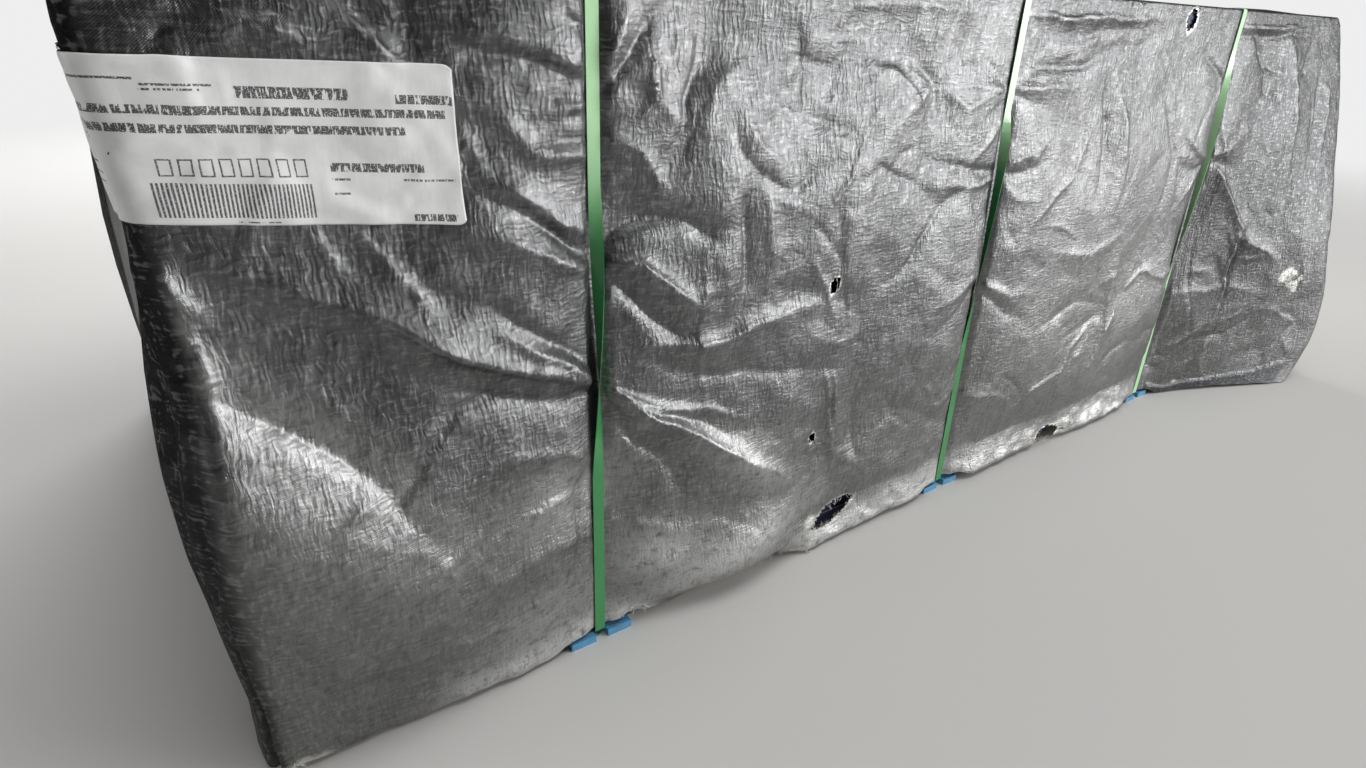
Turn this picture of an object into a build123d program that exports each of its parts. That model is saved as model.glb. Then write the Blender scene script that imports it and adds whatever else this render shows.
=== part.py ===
from build123d import *
import math
import os

# A bundle of oriented strand board as a mill ships it: a stack of full sheets on paired runner
# strips, under a woven-poly cover, held by three plastic straps.
# Millimetres. X runs along the sheets from the labelled end, Y from the front to the back, Z up.
# The origin is on the floor under the middle of the stack.

# Sheets
sheet_length = 2435.0
sheet_width = 1216.0
sheet_thickness = 11.46
sheet_count = 75
sheet_gap = 0.05
sheet_stagger = 1.2
stagger_turn = 137.5

# Runner strips, two under each strap, sawn from the same board
runner_width = 39.0
runner_thickness = 11.46
runner_gap = 20.0
runner_shift = 13.0

# Straps
strap_width = 16.0
strap_thickness = 0.9
strap_first = 387.0
strap_pitch = 765.5
strap_clearance = 0.4
foot_bend = 2.5
twist_heights = (468.0, 609.0, 577.0)
twist_above = (177.0, 91.0, 223.0)
twist_below = (198.0, 330.0, 300.0)
twist_steps = 12
weld_length = 46.0
weld_offset = 150.0

# Cover
cover_wall = 1.6
cover_seat = 0.3
cover_slack = 4.0
cover_billow = 15.0
hem_height = 2.0
end_bulge = 62.0
end_draw_in = 0.8
end_hold = 24
corner_round = 56.0
tuck_width = 15.0
tuck_depth = 9.0
tuck_height = 0.56
skirt_flare = 178.0
flare_power = 1.35
nose_round = 14.0
nose_pull = 105.0
nose_pull_height = 90.0
pinch_width = 20.0
lift_clearance = 2.0
lift_run_out = 34.0
section_heights = (0.0, 0.09, 0.2, 0.36, 0.56, 0.78, 0.93, 1.0)
shoulder_radius = 4.0
shoulder_turns = (45.0, 90.0)

# Tears in the cover: distance from the labelled end, height, length, opening and slope in degrees
low_tear = (850.0, 52.0, 88.0, 30.0, 14.0)
upper_nick = (796.0, 468.0, 34.0, 9.0, 78.0)
lower_nick = (782.0, 219.0, 15.0, 6.0, 80.0)
hem_tear = (1526.0, 6.0, 58.0, 22.0, 8.0)
top_tear = (1700.0, 852.0, 36.0, 10.0, 82.0)

# Label, stuck on the cover round the corner of the labelled end
label_front_run = 236.0
label_end_run = 50.0
label_height = 148.0
label_top = 766.0
label_turn = 1.6
label_corner = 7.0
label_thickness = 0.5
label_clearance = 0.3

# Places that follow from the sizes above
labelled_end = -sheet_length / 2
far_end = sheet_length / 2
front_side = -sheet_width / 2
stack_base = runner_thickness + sheet_gap
sheet_pitch = sheet_thickness + sheet_gap
stack_top = stack_base + sheet_count * sheet_pitch - sheet_gap
cover_top = stack_top + cover_seat + cover_wall
cover_front = front_side - cover_slack - cover_wall
strap_places = [labelled_end + strap_first + i * strap_pitch for i in range(len(twist_heights))]
standing = (Align.CENTER, Align.CENTER, Align.MIN)


def sheets():
    """Full sheets, one above the other, each a little out of line as the stacker drops them."""
    layers = []
    for i in range(sheet_count):
        turn = math.radians(i * stagger_turn)
        x = sheet_stagger * math.cos(turn)
        y = sheet_stagger * math.sin(turn)
        z = stack_base + i * sheet_pitch
        layers.append(Pos(x, y, z) * Box(sheet_length, sheet_width, sheet_thickness, align=standing))
    return Compound(children=layers)


def runner(place, side):
    """A strip laid across under the stack beside a strap, standing out a little at the front."""
    x = place + side * (runner_gap + runner_width) / 2
    return Pos(x, -runner_shift, 0) * Box(runner_width, sheet_width, runner_thickness, align=standing)


def front_outline(z):
    """Front half of the cover's outline at a height, from the labelled end round to the far end."""
    rise = z / cover_top
    bulge = end_bulge * (1 - end_draw_in * rise**end_hold)
    flare = skirt_flare * (1 - rise**flare_power)
    near = labelled_end - bulge
    far = far_end + bulge
    nose = far - nose_round - nose_pull * math.exp(-z / nose_pull_height)
    tuck = tuck_depth * max(0, 1 - rise / tuck_height)
    fold = front_side + corner_round
    points = [
        (near, 0.0),
        (near, front_side / 2),
        (near, front_side + 2 * corner_round),
        (near + bulge * 0.1, fold + tuck_width / 2),
        (near + bulge * 0.2 + tuck, fold),
        (near + bulge * 0.25, fold - tuck_width / 2),
        (near + bulge * 0.6, front_side + corner_round / 4),
        (labelled_end - cover_slack, cover_front),
        (labelled_end + corner_round * 3 / 2, cover_front),
    ]
    start = labelled_end + corner_round * 3 / 2
    for place in strap_places:
        middle = (start + place) / 2
        points.append((middle, cover_front - cover_billow * (place - start) / strap_pitch))
        points.append((place - pinch_width, cover_front))
        points.append((place, cover_front))
        points.append((place + pinch_width, cover_front))
        start = place
    hang = strap_places[-1] + pinch_width
    for share in (0.25, 0.5, 0.75):
        points.append((hang + (nose - nose_round - hang) * share, cover_front - flare * share))
    points.append((nose - nose_round, cover_front - flare * 0.97))
    points.append((nose, cover_front - flare))
    points.append((nose + nose_round * 0.7, cover_front - flare * 0.93 + nose_round * 0.3))
    points.append((nose + (far - nose) * 0.75, cover_front - flare * 0.45 + nose_round))
    points.append((far, front_side + 2 * corner_round))
    points.append((far, front_side / 2))
    points.append((far, 0.0))
    return points


def outline(z, inset):
    """The whole outline at a height, drawn in by the inset square to its own line."""
    half = front_outline(z)
    loop = half + [(x, -y) for x, y in reversed(half[1:-1])]
    count = len(loop)
    moved = []
    for i, (x, y) in enumerate(loop):
        x_back, y_back = loop[i - 1]
        x_next, y_next = loop[(i + 1) % count]
        run = math.hypot(x_next - x_back, y_next - y_back)
        moved.append((x - inset * (y_next - y_back) / run, y + inset * (x_next - x_back) / run))
    return moved


def level_face(line, z):
    """A flat face at a height inside a closed line."""
    return make_face(Polyline([(x, y, z) for x, y in line], close=True))


def cover_form(inset, bottom, top, radius):
    """A solid filled cover, its wall drawn in by the inset and its top edge rounded."""
    base = top - radius
    levels = [bottom + (base - bottom) * share for share in section_heights]
    sections = [level_face(outline(z, inset), z) for z in levels]
    brow = outline(base, inset)
    half_length = max(x for x, y in brow)
    half_width = max(y for x, y in brow)
    for turn in shoulder_turns:
        drop = radius * (1 - math.cos(math.radians(turn)))
        long = 1 - drop / half_length
        wide = 1 - drop / half_width
        z = base + radius * math.sin(math.radians(turn))
        sections.append(level_face([(x * long, y * wide) for x, y in brow], z))
    return loft(sections, ruled=True)


def tear(place, height, length, opening, slope):
    """A lens-shaped cutter for a tear through the front of the cover."""
    sag = opening / 2
    upper = ThreePointArc((-length / 2, 0), (0, sag), (length / 2, 0))
    lower = ThreePointArc((length / 2, 0), (0, -sag), (-length / 2, 0))
    lens = make_face([upper, lower])
    reach = skirt_flare + cover_slack
    at = Location((labelled_end + place, front_side, height), (90, 0, 0))
    return at * Rot(0, 0, slope) * extrude(lens, amount=reach)


def hem_lift(place):
    """The space under the hem where it lifts over a pair of runner strips."""
    half = runner_gap / 2 + runner_width + lift_clearance
    top = runner_thickness + lift_clearance
    shape = Polyline((-half - lift_run_out, 0), (-half, top), (half, top), (half + lift_run_out, 0), close=True)
    reach = sheet_width + 2 * skirt_flare
    return Pos(place, 0, 0) * extrude(make_face(Plane.XZ * shape), amount=reach / 2, both=True)


def cover():
    """One woven sheet over the stack: flat on top, pinched by the straps, flared at the far end."""
    outer = cover_form(0, hem_height, cover_top, shoulder_radius)
    inner = cover_form(cover_wall, 0, cover_top - cover_wall, shoulder_radius - cover_wall)
    shell = outer - inner
    for place in strap_places:
        shell -= hem_lift(place)
    for damage in (low_tear, upper_nick, lower_nick, hem_tear, top_tear):
        shell -= tear(*damage)
    return shell


def strap_loop_face(grow):
    """The strap's path seen from the end, grown outward by a thickness."""
    low = stack_base - strap_clearance - grow
    high = cover_top + strap_clearance + grow
    half = -cover_front + strap_clearance + grow
    loop = Plane.YZ * Pos(0, (low + high) / 2) * Rectangle(2 * half, high - low)
    loop = fillet(loop.vertices().group_by(Axis.Z)[-1], shoulder_radius + strap_clearance + grow)
    return fillet(loop.vertices().group_by(Axis.Z)[0], foot_bend + grow)


def twist(height, above, below):
    """The stretch of the front run where the strap turns over, bowed out to clear the cover."""
    flat = cover_front - strap_clearance - strap_thickness / 2
    sections = []
    for i in range(twist_steps + 1):
        share = 2 * i / twist_steps - 1
        turn = 90 + 90 * share
        bow = (strap_width - strap_thickness) / 2 * math.sin(math.radians(turn))
        z = height + share * (above if share > 0 else below)
        sections.append(Pos(0, flat - bow, z) * Rot(0, 0, turn) * Rectangle(strap_width, strap_thickness))
    return loft(sections, ruled=True)


def strap(place, height, above, below):
    """A plastic strap round the bundle, turned over once and welded to itself on top."""
    ring = strap_loop_face(strap_thickness) - strap_loop_face(0)
    band = extrude(ring, amount=strap_width / 2, both=True)
    front = cover_front - strap_clearance
    window = Box(2 * strap_width, 4 * strap_thickness, above + below)
    band -= Pos(0, front, height + (above - below) / 2) * window
    band += twist(height, above, below)
    lap = Box(strap_width, weld_length, strap_thickness, align=standing)
    band += Pos(0, weld_offset, cover_top + strap_clearance + strap_thickness) * lap
    return Pos(place, 0, 0) * band


def label():
    """A paper label that follows the cover round the corner of the labelled end."""
    inner = cover_form(-label_clearance, hem_height, cover_top, shoulder_radius)
    outer = cover_form(-label_clearance - label_thickness, 0, cover_top, shoulder_radius)
    length = label_front_run + end_bulge + label_end_run
    depth = corner_round + label_end_run + skirt_flare
    blank = Box(length, depth, label_height, align=(Align.MAX, Align.MIN, Align.MAX))
    right = blank.edges().filter_by(Axis.Y).group_by(Axis.X)[-1]
    blank = fillet(right, label_corner)
    at = Pos(labelled_end + label_front_run, front_side + corner_round + label_end_run - depth, label_top)
    return (outer - inner) & (at * Rot(0, label_turn, 0) * blank)


os.makedirs("parts", exist_ok=True)
export_step(sheets(), "parts/osb_sheets.step")
for i, place in enumerate(strap_places):
    export_step(runner(place, -1), f"parts/runner_{i + 1}_left.step")
    export_step(runner(place, 1), f"parts/runner_{i + 1}_right.step")
    band = strap(place, twist_heights[i], twist_above[i], twist_below[i])
    export_step(band, f"parts/strap_{i + 1}.step")
export_step(cover(), "parts/cover.step")
export_step(label(), "parts/label.step")
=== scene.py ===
import math

import bmesh
import bpy
import numpy as np
from mathutils import Euler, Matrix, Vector


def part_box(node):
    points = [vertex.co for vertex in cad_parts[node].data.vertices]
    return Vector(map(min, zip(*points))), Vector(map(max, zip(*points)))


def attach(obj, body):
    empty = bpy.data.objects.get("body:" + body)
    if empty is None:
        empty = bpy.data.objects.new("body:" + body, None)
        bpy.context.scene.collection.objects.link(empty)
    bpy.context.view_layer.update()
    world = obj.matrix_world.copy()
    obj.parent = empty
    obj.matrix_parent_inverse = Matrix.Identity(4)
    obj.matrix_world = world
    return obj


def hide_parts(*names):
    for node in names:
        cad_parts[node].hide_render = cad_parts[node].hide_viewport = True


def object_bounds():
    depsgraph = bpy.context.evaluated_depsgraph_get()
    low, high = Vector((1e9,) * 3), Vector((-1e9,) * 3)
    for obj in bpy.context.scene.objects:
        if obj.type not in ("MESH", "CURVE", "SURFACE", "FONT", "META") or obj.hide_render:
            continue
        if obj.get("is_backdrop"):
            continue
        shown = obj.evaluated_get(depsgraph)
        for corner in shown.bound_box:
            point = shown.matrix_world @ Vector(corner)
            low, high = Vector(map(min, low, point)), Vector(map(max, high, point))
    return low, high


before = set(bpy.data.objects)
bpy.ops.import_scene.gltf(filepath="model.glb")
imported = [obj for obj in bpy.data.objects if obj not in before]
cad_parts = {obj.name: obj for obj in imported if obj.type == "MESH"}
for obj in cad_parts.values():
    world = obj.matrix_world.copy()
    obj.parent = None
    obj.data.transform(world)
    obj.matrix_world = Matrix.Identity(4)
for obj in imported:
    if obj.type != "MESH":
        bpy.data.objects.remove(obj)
cad_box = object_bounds()

# Studio: a plain pale floor, soft lamps and the camera at the corner of the labelled end, where the
# photo was taken from, a hand's breadth below the top of the bundle.
# Metres throughout: X along the sheets, Y from the front to the back, Z up, origin on the floor.
camera_place = (-1.2828, -1.4032, 0.8153)
camera_turn = (65.62, -1.84, -35.77)
camera_lens = 21.03
floor_size = 60.0
floor_fade = (2.2, 7.0)
floor_color = (0.72, 0.71, 0.69)
backdrop_color = (0.86, 0.86, 0.86)
lamps = [
    # name, place, aimed at, size, watts
    ("door_light", (6.1, -5.8, 1.7), (0.0, -0.6, 0.5), (5.0, 4.0), 540.0),
    ("roof_light", (0.8, -1.4, 4.8), (0.4, -0.3, 0.4), (4.6, 3.0), 130.0),
    ("back_light", (0.5, 6.0, 3.2), (0.0, 0.3, 0.4), (5.6, 3.2), 360.0),
    ("end_light", (-6.5, 1.5, 2.2), (-1.2, 0.2, 0.4), (3.6, 2.6), 90.0),
]


def aim(thing, place, target):
    """Turn a lamp's back to its place and its face to the target."""
    thing.location = place
    thing.rotation_euler = (Vector(target) - Vector(place)).to_track_quat("-Z", "Y").to_euler()


scene = bpy.context.scene
scene.view_settings.view_transform = "Standard"
lens = bpy.data.cameras.new("photo_view")
lens.lens = camera_lens
lens.clip_start = 0.02
camera = bpy.data.objects.new("photo_view", lens)
camera.location = camera_place
camera.rotation_euler = Euler([math.radians(turn) for turn in camera_turn], "XYZ")
scene.collection.objects.link(camera)
scene.camera = camera

for name, place, target, size, watts in lamps:
    lamp = bpy.data.lights.new(name, "AREA")
    lamp.shape = "RECTANGLE"
    lamp.size, lamp.size_y = size
    lamp.energy = watts
    holder = bpy.data.objects.new(name, lamp)
    aim(holder, place, target)
    scene.collection.objects.link(holder)

world = bpy.data.worlds.new("studio_air")
scene.world = world
world.use_nodes = True
air = world.node_tree
air.nodes.clear()
air_out = air.nodes.new("ShaderNodeOutputWorld")
air_light = air.nodes.new("ShaderNodeBackground")
air_light.inputs["Color"].default_value = (*backdrop_color, 1)
air_seen = air.nodes.new("ShaderNodeBackground")
air_seen.inputs["Color"].default_value = (*backdrop_color, 1)
air_light.inputs["Strength"].default_value = 0.03
air_mix = air.nodes.new("ShaderNodeMixShader")
air_path = air.nodes.new("ShaderNodeLightPath")
air.links.new(air_path.outputs["Is Camera Ray"], air_mix.inputs["Fac"])
air.links.new(air_light.outputs[0], air_mix.inputs[1])
air.links.new(air_seen.outputs[0], air_mix.inputs[2])
air.links.new(air_mix.outputs[0], air_out.inputs["Surface"])


def floor_material():
    """Plain pale floor paint that fades into the backdrop in the distance."""
    material = bpy.data.materials.new("floor_paint")
    material.use_nodes = True
    tree = material.node_tree
    surface = tree.nodes["Principled BSDF"]
    surface.inputs["Base Color"].default_value = (*floor_color, 1)
    surface.inputs["Roughness"].default_value = 0.7
    far = tree.nodes.new("ShaderNodeEmission")
    far.inputs["Color"].default_value = (*backdrop_color, 1)
    reach = tree.nodes.new("ShaderNodeVectorMath")
    reach.operation = "LENGTH"
    tree.links.new(tree.nodes.new("ShaderNodeTexCoord").outputs["Object"], reach.inputs[0])
    fade = tree.nodes.new("ShaderNodeMapRange")
    fade.interpolation_type = "SMOOTHSTEP"
    fade.inputs["From Min"].default_value = floor_fade[0]
    fade.inputs["From Max"].default_value = floor_fade[1]
    tree.links.new(reach.outputs["Value"], fade.inputs["Value"])
    path = tree.nodes.new("ShaderNodeLightPath")
    share = tree.nodes.new("ShaderNodeMath")
    share.operation = "MULTIPLY"
    tree.links.new(fade.outputs[0], share.inputs[0])
    tree.links.new(path.outputs["Is Camera Ray"], share.inputs[1])
    mix = tree.nodes.new("ShaderNodeMixShader")
    tree.links.new(share.outputs[0], mix.inputs["Fac"])
    tree.links.new(surface.outputs[0], mix.inputs[1])
    tree.links.new(far.outputs[0], mix.inputs[2])
    tree.links.new(mix.outputs[0], tree.nodes["Material Output"].inputs["Surface"])
    return material


floor_mesh = bpy.data.meshes.new("floor")
half_floor = floor_size / 2
floor_mesh.from_pydata(
    [(x * half_floor, y * half_floor, 0) for x, y in ((-1, -1), (1, -1), (1, 1), (-1, 1))], [], [(0, 1, 2, 3)]
)
floor = bpy.data.objects.new("floor", floor_mesh)
floor_mesh.materials.append(floor_material())
scene.collection.objects.link(floor)
floor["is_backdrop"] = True


# Runner strips: sawn from the same board, laid across the floor in pairs beside each strap, so that
# a fork or a strap passes under the stack. Strands of poplar pressed with resin, the sawn ends
# sealed with a light blue paint that has worn at its edges.
strand_pale = (0.62, 0.44, 0.25)
strand_deep = (0.36, 0.22, 0.11)
strand_long = 0.055
strand_wide = 0.011


def link(tree, start, end):
    """Join an output to an input."""
    tree.links.new(start, end)
    return end


def add_node(tree, kind, **settings):
    """Add a shader node; names with a value set an input, and links are given as sockets."""
    node = tree.nodes.new(kind)
    for key, value in settings.items():
        if key in ("operation", "data_type", "blend_type", "noise_dimensions", "feature", "voronoi_dimensions",
                   "vector_type", "wave_type", "bands_direction", "wave_profile", "interpolation_type",
                   "attribute_name", "uv_map", "clamp", "distance", "normalize", "rotation_type"):
            setattr(node, key, value)
            continue
        socket = node.inputs[int(key[1:])] if key[0] == "_" else node.inputs[key.replace("_", " ")]
        if isinstance(value, bpy.types.NodeSocket):
            tree.links.new(value, socket)
        else:
            socket.default_value = value
    return node


def math_node(tree, operation, a, b=0.0, clamp=False):
    """One sum of two values."""
    node = tree.nodes.new("ShaderNodeMath")
    node.operation = operation
    node.use_clamp = clamp
    for i, value in enumerate((a, b)):
        if isinstance(value, bpy.types.NodeSocket):
            tree.links.new(value, node.inputs[i])
        else:
            node.inputs[i].default_value = value
    return node.outputs[0]


def blend_colors(tree, share, a, b, blend="MIX"):
    """One colour over another."""
    node = tree.nodes.new("ShaderNodeMix")
    node.data_type = "RGBA"
    node.blend_type = blend
    for i, value in ((0, share), (6, a), (7, b)):
        if isinstance(value, bpy.types.NodeSocket):
            tree.links.new(value, node.inputs[i])
        else:
            node.inputs[i].default_value = (*value, 1) if isinstance(value, tuple) else value
    return node.outputs[2]


def ramp(tree, value, low, high):
    """A smooth step from 0 at low to 1 at high."""
    node = tree.nodes.new("ShaderNodeMapRange")
    node.interpolation_type = "SMOOTHSTEP"
    tree.links.new(value, node.inputs["Value"])
    node.inputs["From Min"].default_value = low
    node.inputs["From Max"].default_value = high
    return node.outputs[0]


def noise(tree, vector, scale, detail=2.0, roughness=0.5):
    """Even noise at a scale given in lumps to the metre."""
    node = tree.nodes.new("ShaderNodeTexNoise")
    tree.links.new(vector, node.inputs["Vector"])
    node.inputs["Scale"].default_value = scale
    node.inputs["Detail"].default_value = detail
    node.inputs["Roughness"].default_value = roughness
    return node.outputs["Fac"]


def scaled(tree, vector, scale, turn=0.0):
    """The pattern's coordinates stretched and turned about Z."""
    node = tree.nodes.new("ShaderNodeMapping")
    tree.links.new(vector, node.inputs["Vector"])
    node.inputs["Rotation"].default_value = (0, 0, turn)
    node.inputs["Scale"].default_value = scale
    return node.outputs["Vector"]


def bump(tree, height, distance, strength=1.0, under=None):
    """A bump of a height in metres, over another where given."""
    node = tree.nodes.new("ShaderNodeBump")
    node.inputs["Distance"].default_value = distance
    node.inputs["Strength"].default_value = strength
    tree.links.new(height, node.inputs["Height"])
    if under is not None:
        tree.links.new(under, node.inputs["Normal"])
    return node.outputs["Normal"]


def strand_group():
    """Pressed strands in crossing layers: a colour, and a height for the bump."""
    tree = bpy.data.node_groups.new("pressed_strands", "ShaderNodeTree")
    tree.interface.new_socket("Vector", in_out="INPUT", socket_type="NodeSocketVector")
    tree.interface.new_socket("Color", in_out="OUTPUT", socket_type="NodeSocketColor")
    tree.interface.new_socket("Height", in_out="OUTPUT", socket_type="NodeSocketFloat")
    entry = tree.nodes.new("NodeGroupInput")
    leave = tree.nodes.new("NodeGroupOutput")
    color = None
    height = None
    for layer, turn in enumerate((0.12, -0.3, 1.45)):
        flat = scaled(tree, entry.outputs[0], (1 / strand_long, 1 / strand_wide, 1 / strand_wide), turn)
        cells = tree.nodes.new("ShaderNodeTexVoronoi")
        tree.links.new(flat, cells.inputs["Vector"])
        cells.inputs["Scale"].default_value = 1.0
        cells.inputs["Randomness"].default_value = 0.9
        pick = tree.nodes.new("ShaderNodeSeparateColor")
        tree.links.new(cells.outputs["Color"], pick.inputs[0])
        grain = noise(tree, scaled(tree, entry.outputs[0], (30, 900, 900), turn), 1.0, 3.0)
        tone = math_node(tree, "MULTIPLY_ADD", grain, 0.5)
        tone = math_node(tree, "ADD", tone, math_node(tree, "MULTIPLY", pick.outputs[layer % 3], 0.55))
        tone = math_node(tree, "ADD", tone, -0.2, clamp=True)
        shade = blend_colors(tree, tone, strand_deep, strand_pale)
        shown = ramp(tree, pick.outputs[(layer + 1) % 3], 0.52, 0.56)
        color = shade if color is None else blend_colors(tree, shown, color, shade)
        rise = math_node(tree, "MULTIPLY", pick.outputs[layer % 3], 0.6)
        if height is None:
            height = rise
        else:
            height = math_node(tree, "MAXIMUM", height, math_node(tree, "MULTIPLY", shown, rise))
    tree.links.new(color, leave.inputs["Color"])
    tree.links.new(height, leave.inputs["Height"])
    return tree


strands = strand_group()


def board_material(name, edge_color, edge_axes, worn):
    """Pressed strand board with sealed edges on the sides that face along the given axes."""
    material = bpy.data.materials.new(name)
    material.use_nodes = True
    tree = material.node_tree
    surface = tree.nodes["Principled BSDF"]
    where = tree.nodes.new("ShaderNodeTexCoord").outputs["Object"]
    board = tree.nodes.new("ShaderNodeGroup")
    board.node_tree = strands
    tree.links.new(where, board.inputs["Vector"])
    facing = tree.nodes.new("ShaderNodeSeparateXYZ")
    tree.links.new(tree.nodes.new("ShaderNodeNewGeometry").outputs["Normal"], facing.inputs[0])
    edge = math_node(tree, "ABSOLUTE", facing.outputs[edge_axes[0]])
    for axis in edge_axes[1:]:
        edge = math_node(tree, "MAXIMUM", edge, math_node(tree, "ABSOLUTE", facing.outputs[axis]))
    edge = ramp(tree, edge, 0.6, 0.8)
    chips = ramp(tree, noise(tree, where, 180.0, 4.0, 0.65), worn, worn + 0.06)
    paint_tone = noise(tree, where, 60.0, 3.0)
    dark_paint = tuple(channel * 0.6 for channel in edge_color)
    paint = blend_colors(tree, paint_tone, dark_paint, edge_color)
    painted = math_node(tree, "MULTIPLY", edge, math_node(tree, "SUBTRACT", 1.0, chips))
    color = blend_colors(tree, painted, board.outputs["Color"], paint)
    tree.links.new(color, surface.inputs["Base Color"])
    rough = math_node(tree, "MULTIPLY_ADD", painted, -0.25)
    rough.node.inputs[2].default_value = 0.8
    tree.links.new(rough, surface.inputs["Roughness"])
    fibres = noise(tree, scaled(tree, where, (700, 700, 260)), 1.0, 3.0)
    relief = bump(tree, board.outputs["Height"], 0.0006, 0.7)
    relief = bump(tree, fibres, 0.0005, 0.6, relief)
    tree.links.new(relief, surface.inputs["Normal"])
    return material


def refinish(node_name, material, slot):
    """Give a CAD node its finish."""
    mesh = bpy.data.objects[node_name].data
    mesh.materials.clear()
    mesh.materials.append(material)


runner_nodes = [f"runner_{number}_{side}" for number in (1, 2, 3) for side in ("left", "right")]
runner_finish = board_material("runner_board", (0.13, 0.42, 0.72), (0, 1, 2), 0.62)
for node_name in runner_nodes:
    refinish(node_name, runner_finish, "runner_board")

# Board sheets: 75 full sheets of oriented strand board, stacked flat on the runners, their edges
# sealed dark blue at the mill. They show only through the tears and under the hem.
sheet_finish = board_material("strand_board", (0.02, 0.04, 0.12), (0, 1), 0.68)
refinish("osb_sheets", sheet_finish, "strand_board")

# Cover: one sheet of woven polypropylene tape, coated dark grey, laid over the stack and pulled in by
# the straps. It bellies out between them, flares at the far end where the side hangs free, and its
# spare width is folded into tucks at the corners. Forklift tines and floors have torn its front.
stack_low, stack_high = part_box("osb_sheets")
cover_low, cover_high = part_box("cover")
strap_boxes = [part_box(f"strap_{number}") for number in (1, 2, 3)]
strap_places = [(low[0] + high[0]) / 2 for low, high in strap_boxes]
stack_long = stack_high[0] - stack_low[0]
stack_wide = stack_high[1] - stack_low[1]
crown = stack_high[2] + 0.0019
pitch = 0.0046
near_pitch = 0.0036
far_pitch = 0.0062
end_pitch = 0.0075
corner_pitch = 0.003
shoulder = 0.005
slack = 0.005
end_belly = 0.062
flare = 0.176
flare_power = 1.35
nose_pull = 0.105
nose_pull_height = 0.09
straps_at = [place - stack_low[0] for place in strap_places]

belly_heights = (0.0, 0.1, 0.2, 0.3, 0.4, 0.5, 0.58, 0.65, 0.72, 0.8, 0.835, 0.86, 0.874)
near_belly = (0.046, 0.050, 0.057, 0.062, 0.062, 0.058, 0.052, 0.050, 0.057, 0.063, 0.062, 0.050, 0.016)
far_belly = (0.06, 0.062, 0.062, 0.062, 0.06, 0.056, 0.054, 0.052, 0.05, 0.046, 0.042, 0.03, 0.01)

# How far the free corner past the last strap is drawn in at a height.
nose_heights = (0.0, 0.15, 0.22, 0.30, 0.36, 0.45, 0.53, 0.65, 0.75)
nose_draws = (0.0, 0.0, 0.012, 0.044, 0.054, 0.044, 0.036, 0.010, 0.0)

half_wide = stack_wide / 2
near_stations = (
    # distance along the cover before the labelled end of the front, how far out, how far back
    (-0.70, 0.70, half_wide),
    (-0.40, 0.80, 0.31),
    (-0.21, 0.93, 0.145),
    (-0.115, 1.0, 0.055),
    (-0.080, 0.98, 0.024),
    (0.0, 0.0, -slack),
)
# How far out the front edge of the corner stands at a height: it is folded in low down.
edge_heights = (0.0, 0.34, 0.46, 0.52, 0.58, 0.64, 0.88)
edge_shares = (0.74, 0.62, 0.52, 0.57, 0.72, 0.88, 0.90)


def half_outline(height):
    """Stations of the front half of the cover's outline at a height: distance, X and Y."""
    rise = min(height / crown, 1.0)
    near = np.interp(height, belly_heights, near_belly)
    far = np.interp(height, belly_heights, far_belly)
    swing = flare * (1 - rise**flare_power)
    nose = stack_long + far - 0.012 - nose_pull * math.exp(-height / nose_pull_height)
    nose -= np.interp(height, nose_heights, nose_draws)
    edge = np.interp(height, edge_heights, edge_shares)
    line = [(run, -near * out, back) for run, out, back in near_stations]
    line[-1:-1] = [(-0.060, -near * min(1.0, edge + 0.2), 0.008), (-0.046, -near * edge, -0.004)]
    line.append((straps_at[-1] + 0.02, straps_at[-1] + 0.02, -slack))
    hang = line[-1][1]
    for share, out in ((0.25, 0.2), (0.5, 0.46), (0.75, 0.74), (0.97, 0.985)):
        run = hang + (stack_long + 0.04 - hang) * share
        line.append((run, hang + (nose - hang) * share, -slack - swing * out))
    far_x = stack_long + far
    line.append((stack_long + 0.06, nose + 0.006, -slack - swing * 0.93))
    line.append((stack_long + 0.09, nose + (far_x - nose) * 0.5, -slack - swing * 0.72))
    line.append((stack_long + 0.17, far_x - (far_x - nose) * 0.08, 0.02 - swing * 0.3))
    line.append((stack_long + 0.30, far_x, 0.15))
    line.append((stack_long + 0.48, far_x, 0.33))
    line.append((stack_long + 0.76, far_x, half_wide))
    return line


def soften(values, reach, axis, wrap=False):
    """Blur an array along one axis by a bell of the given reach in cells."""
    if reach < 0.3:
        return values
    span = int(math.ceil(reach * 3))
    bell = np.exp(-0.5 * (np.arange(-span, span + 1) / reach) ** 2)
    bell /= bell.sum()
    pads = [(0, 0)] * values.ndim
    pads[axis] = (span, span)
    padded = np.pad(values, pads, mode="wrap" if wrap else "edge")
    result = np.zeros_like(values)
    for i, weight in enumerate(bell):
        window = [slice(None)] * values.ndim
        window[axis] = slice(i, i + values.shape[axis])
        result += weight * padded[tuple(window)]
    return result


front_end = stack_long + 0.76
near_run = np.concatenate([np.arange(-0.70, -0.13, end_pitch), np.arange(-0.13, -0.05, corner_pitch)])
front_run = [-0.05]
while front_run[-1] < stack_long + 0.10 - far_pitch:
    front_run.append(front_run[-1] + near_pitch + (far_pitch - near_pitch) * max(front_run[-1], 0) / stack_long)
front_run = np.array(front_run)
far_run = np.arange(stack_long + 0.10, front_end, end_pitch)
run = np.concatenate([near_run, front_run, far_run, [front_end]])
half_count = len(run)
shoulder_turns = np.radians((30.0, 60.0, 90.0))
wall_heights = np.arange(cover_low[2] + 0.001, crown - shoulder, pitch)
wall_heights = np.append(wall_heights, crown - shoulder)
heights = np.append(wall_heights, crown - shoulder + shoulder * np.sin(shoulder_turns))
draw_in = np.append(np.zeros(len(wall_heights)), shoulder * (1 - np.cos(shoulder_turns)))
row_count = len(heights)

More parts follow.
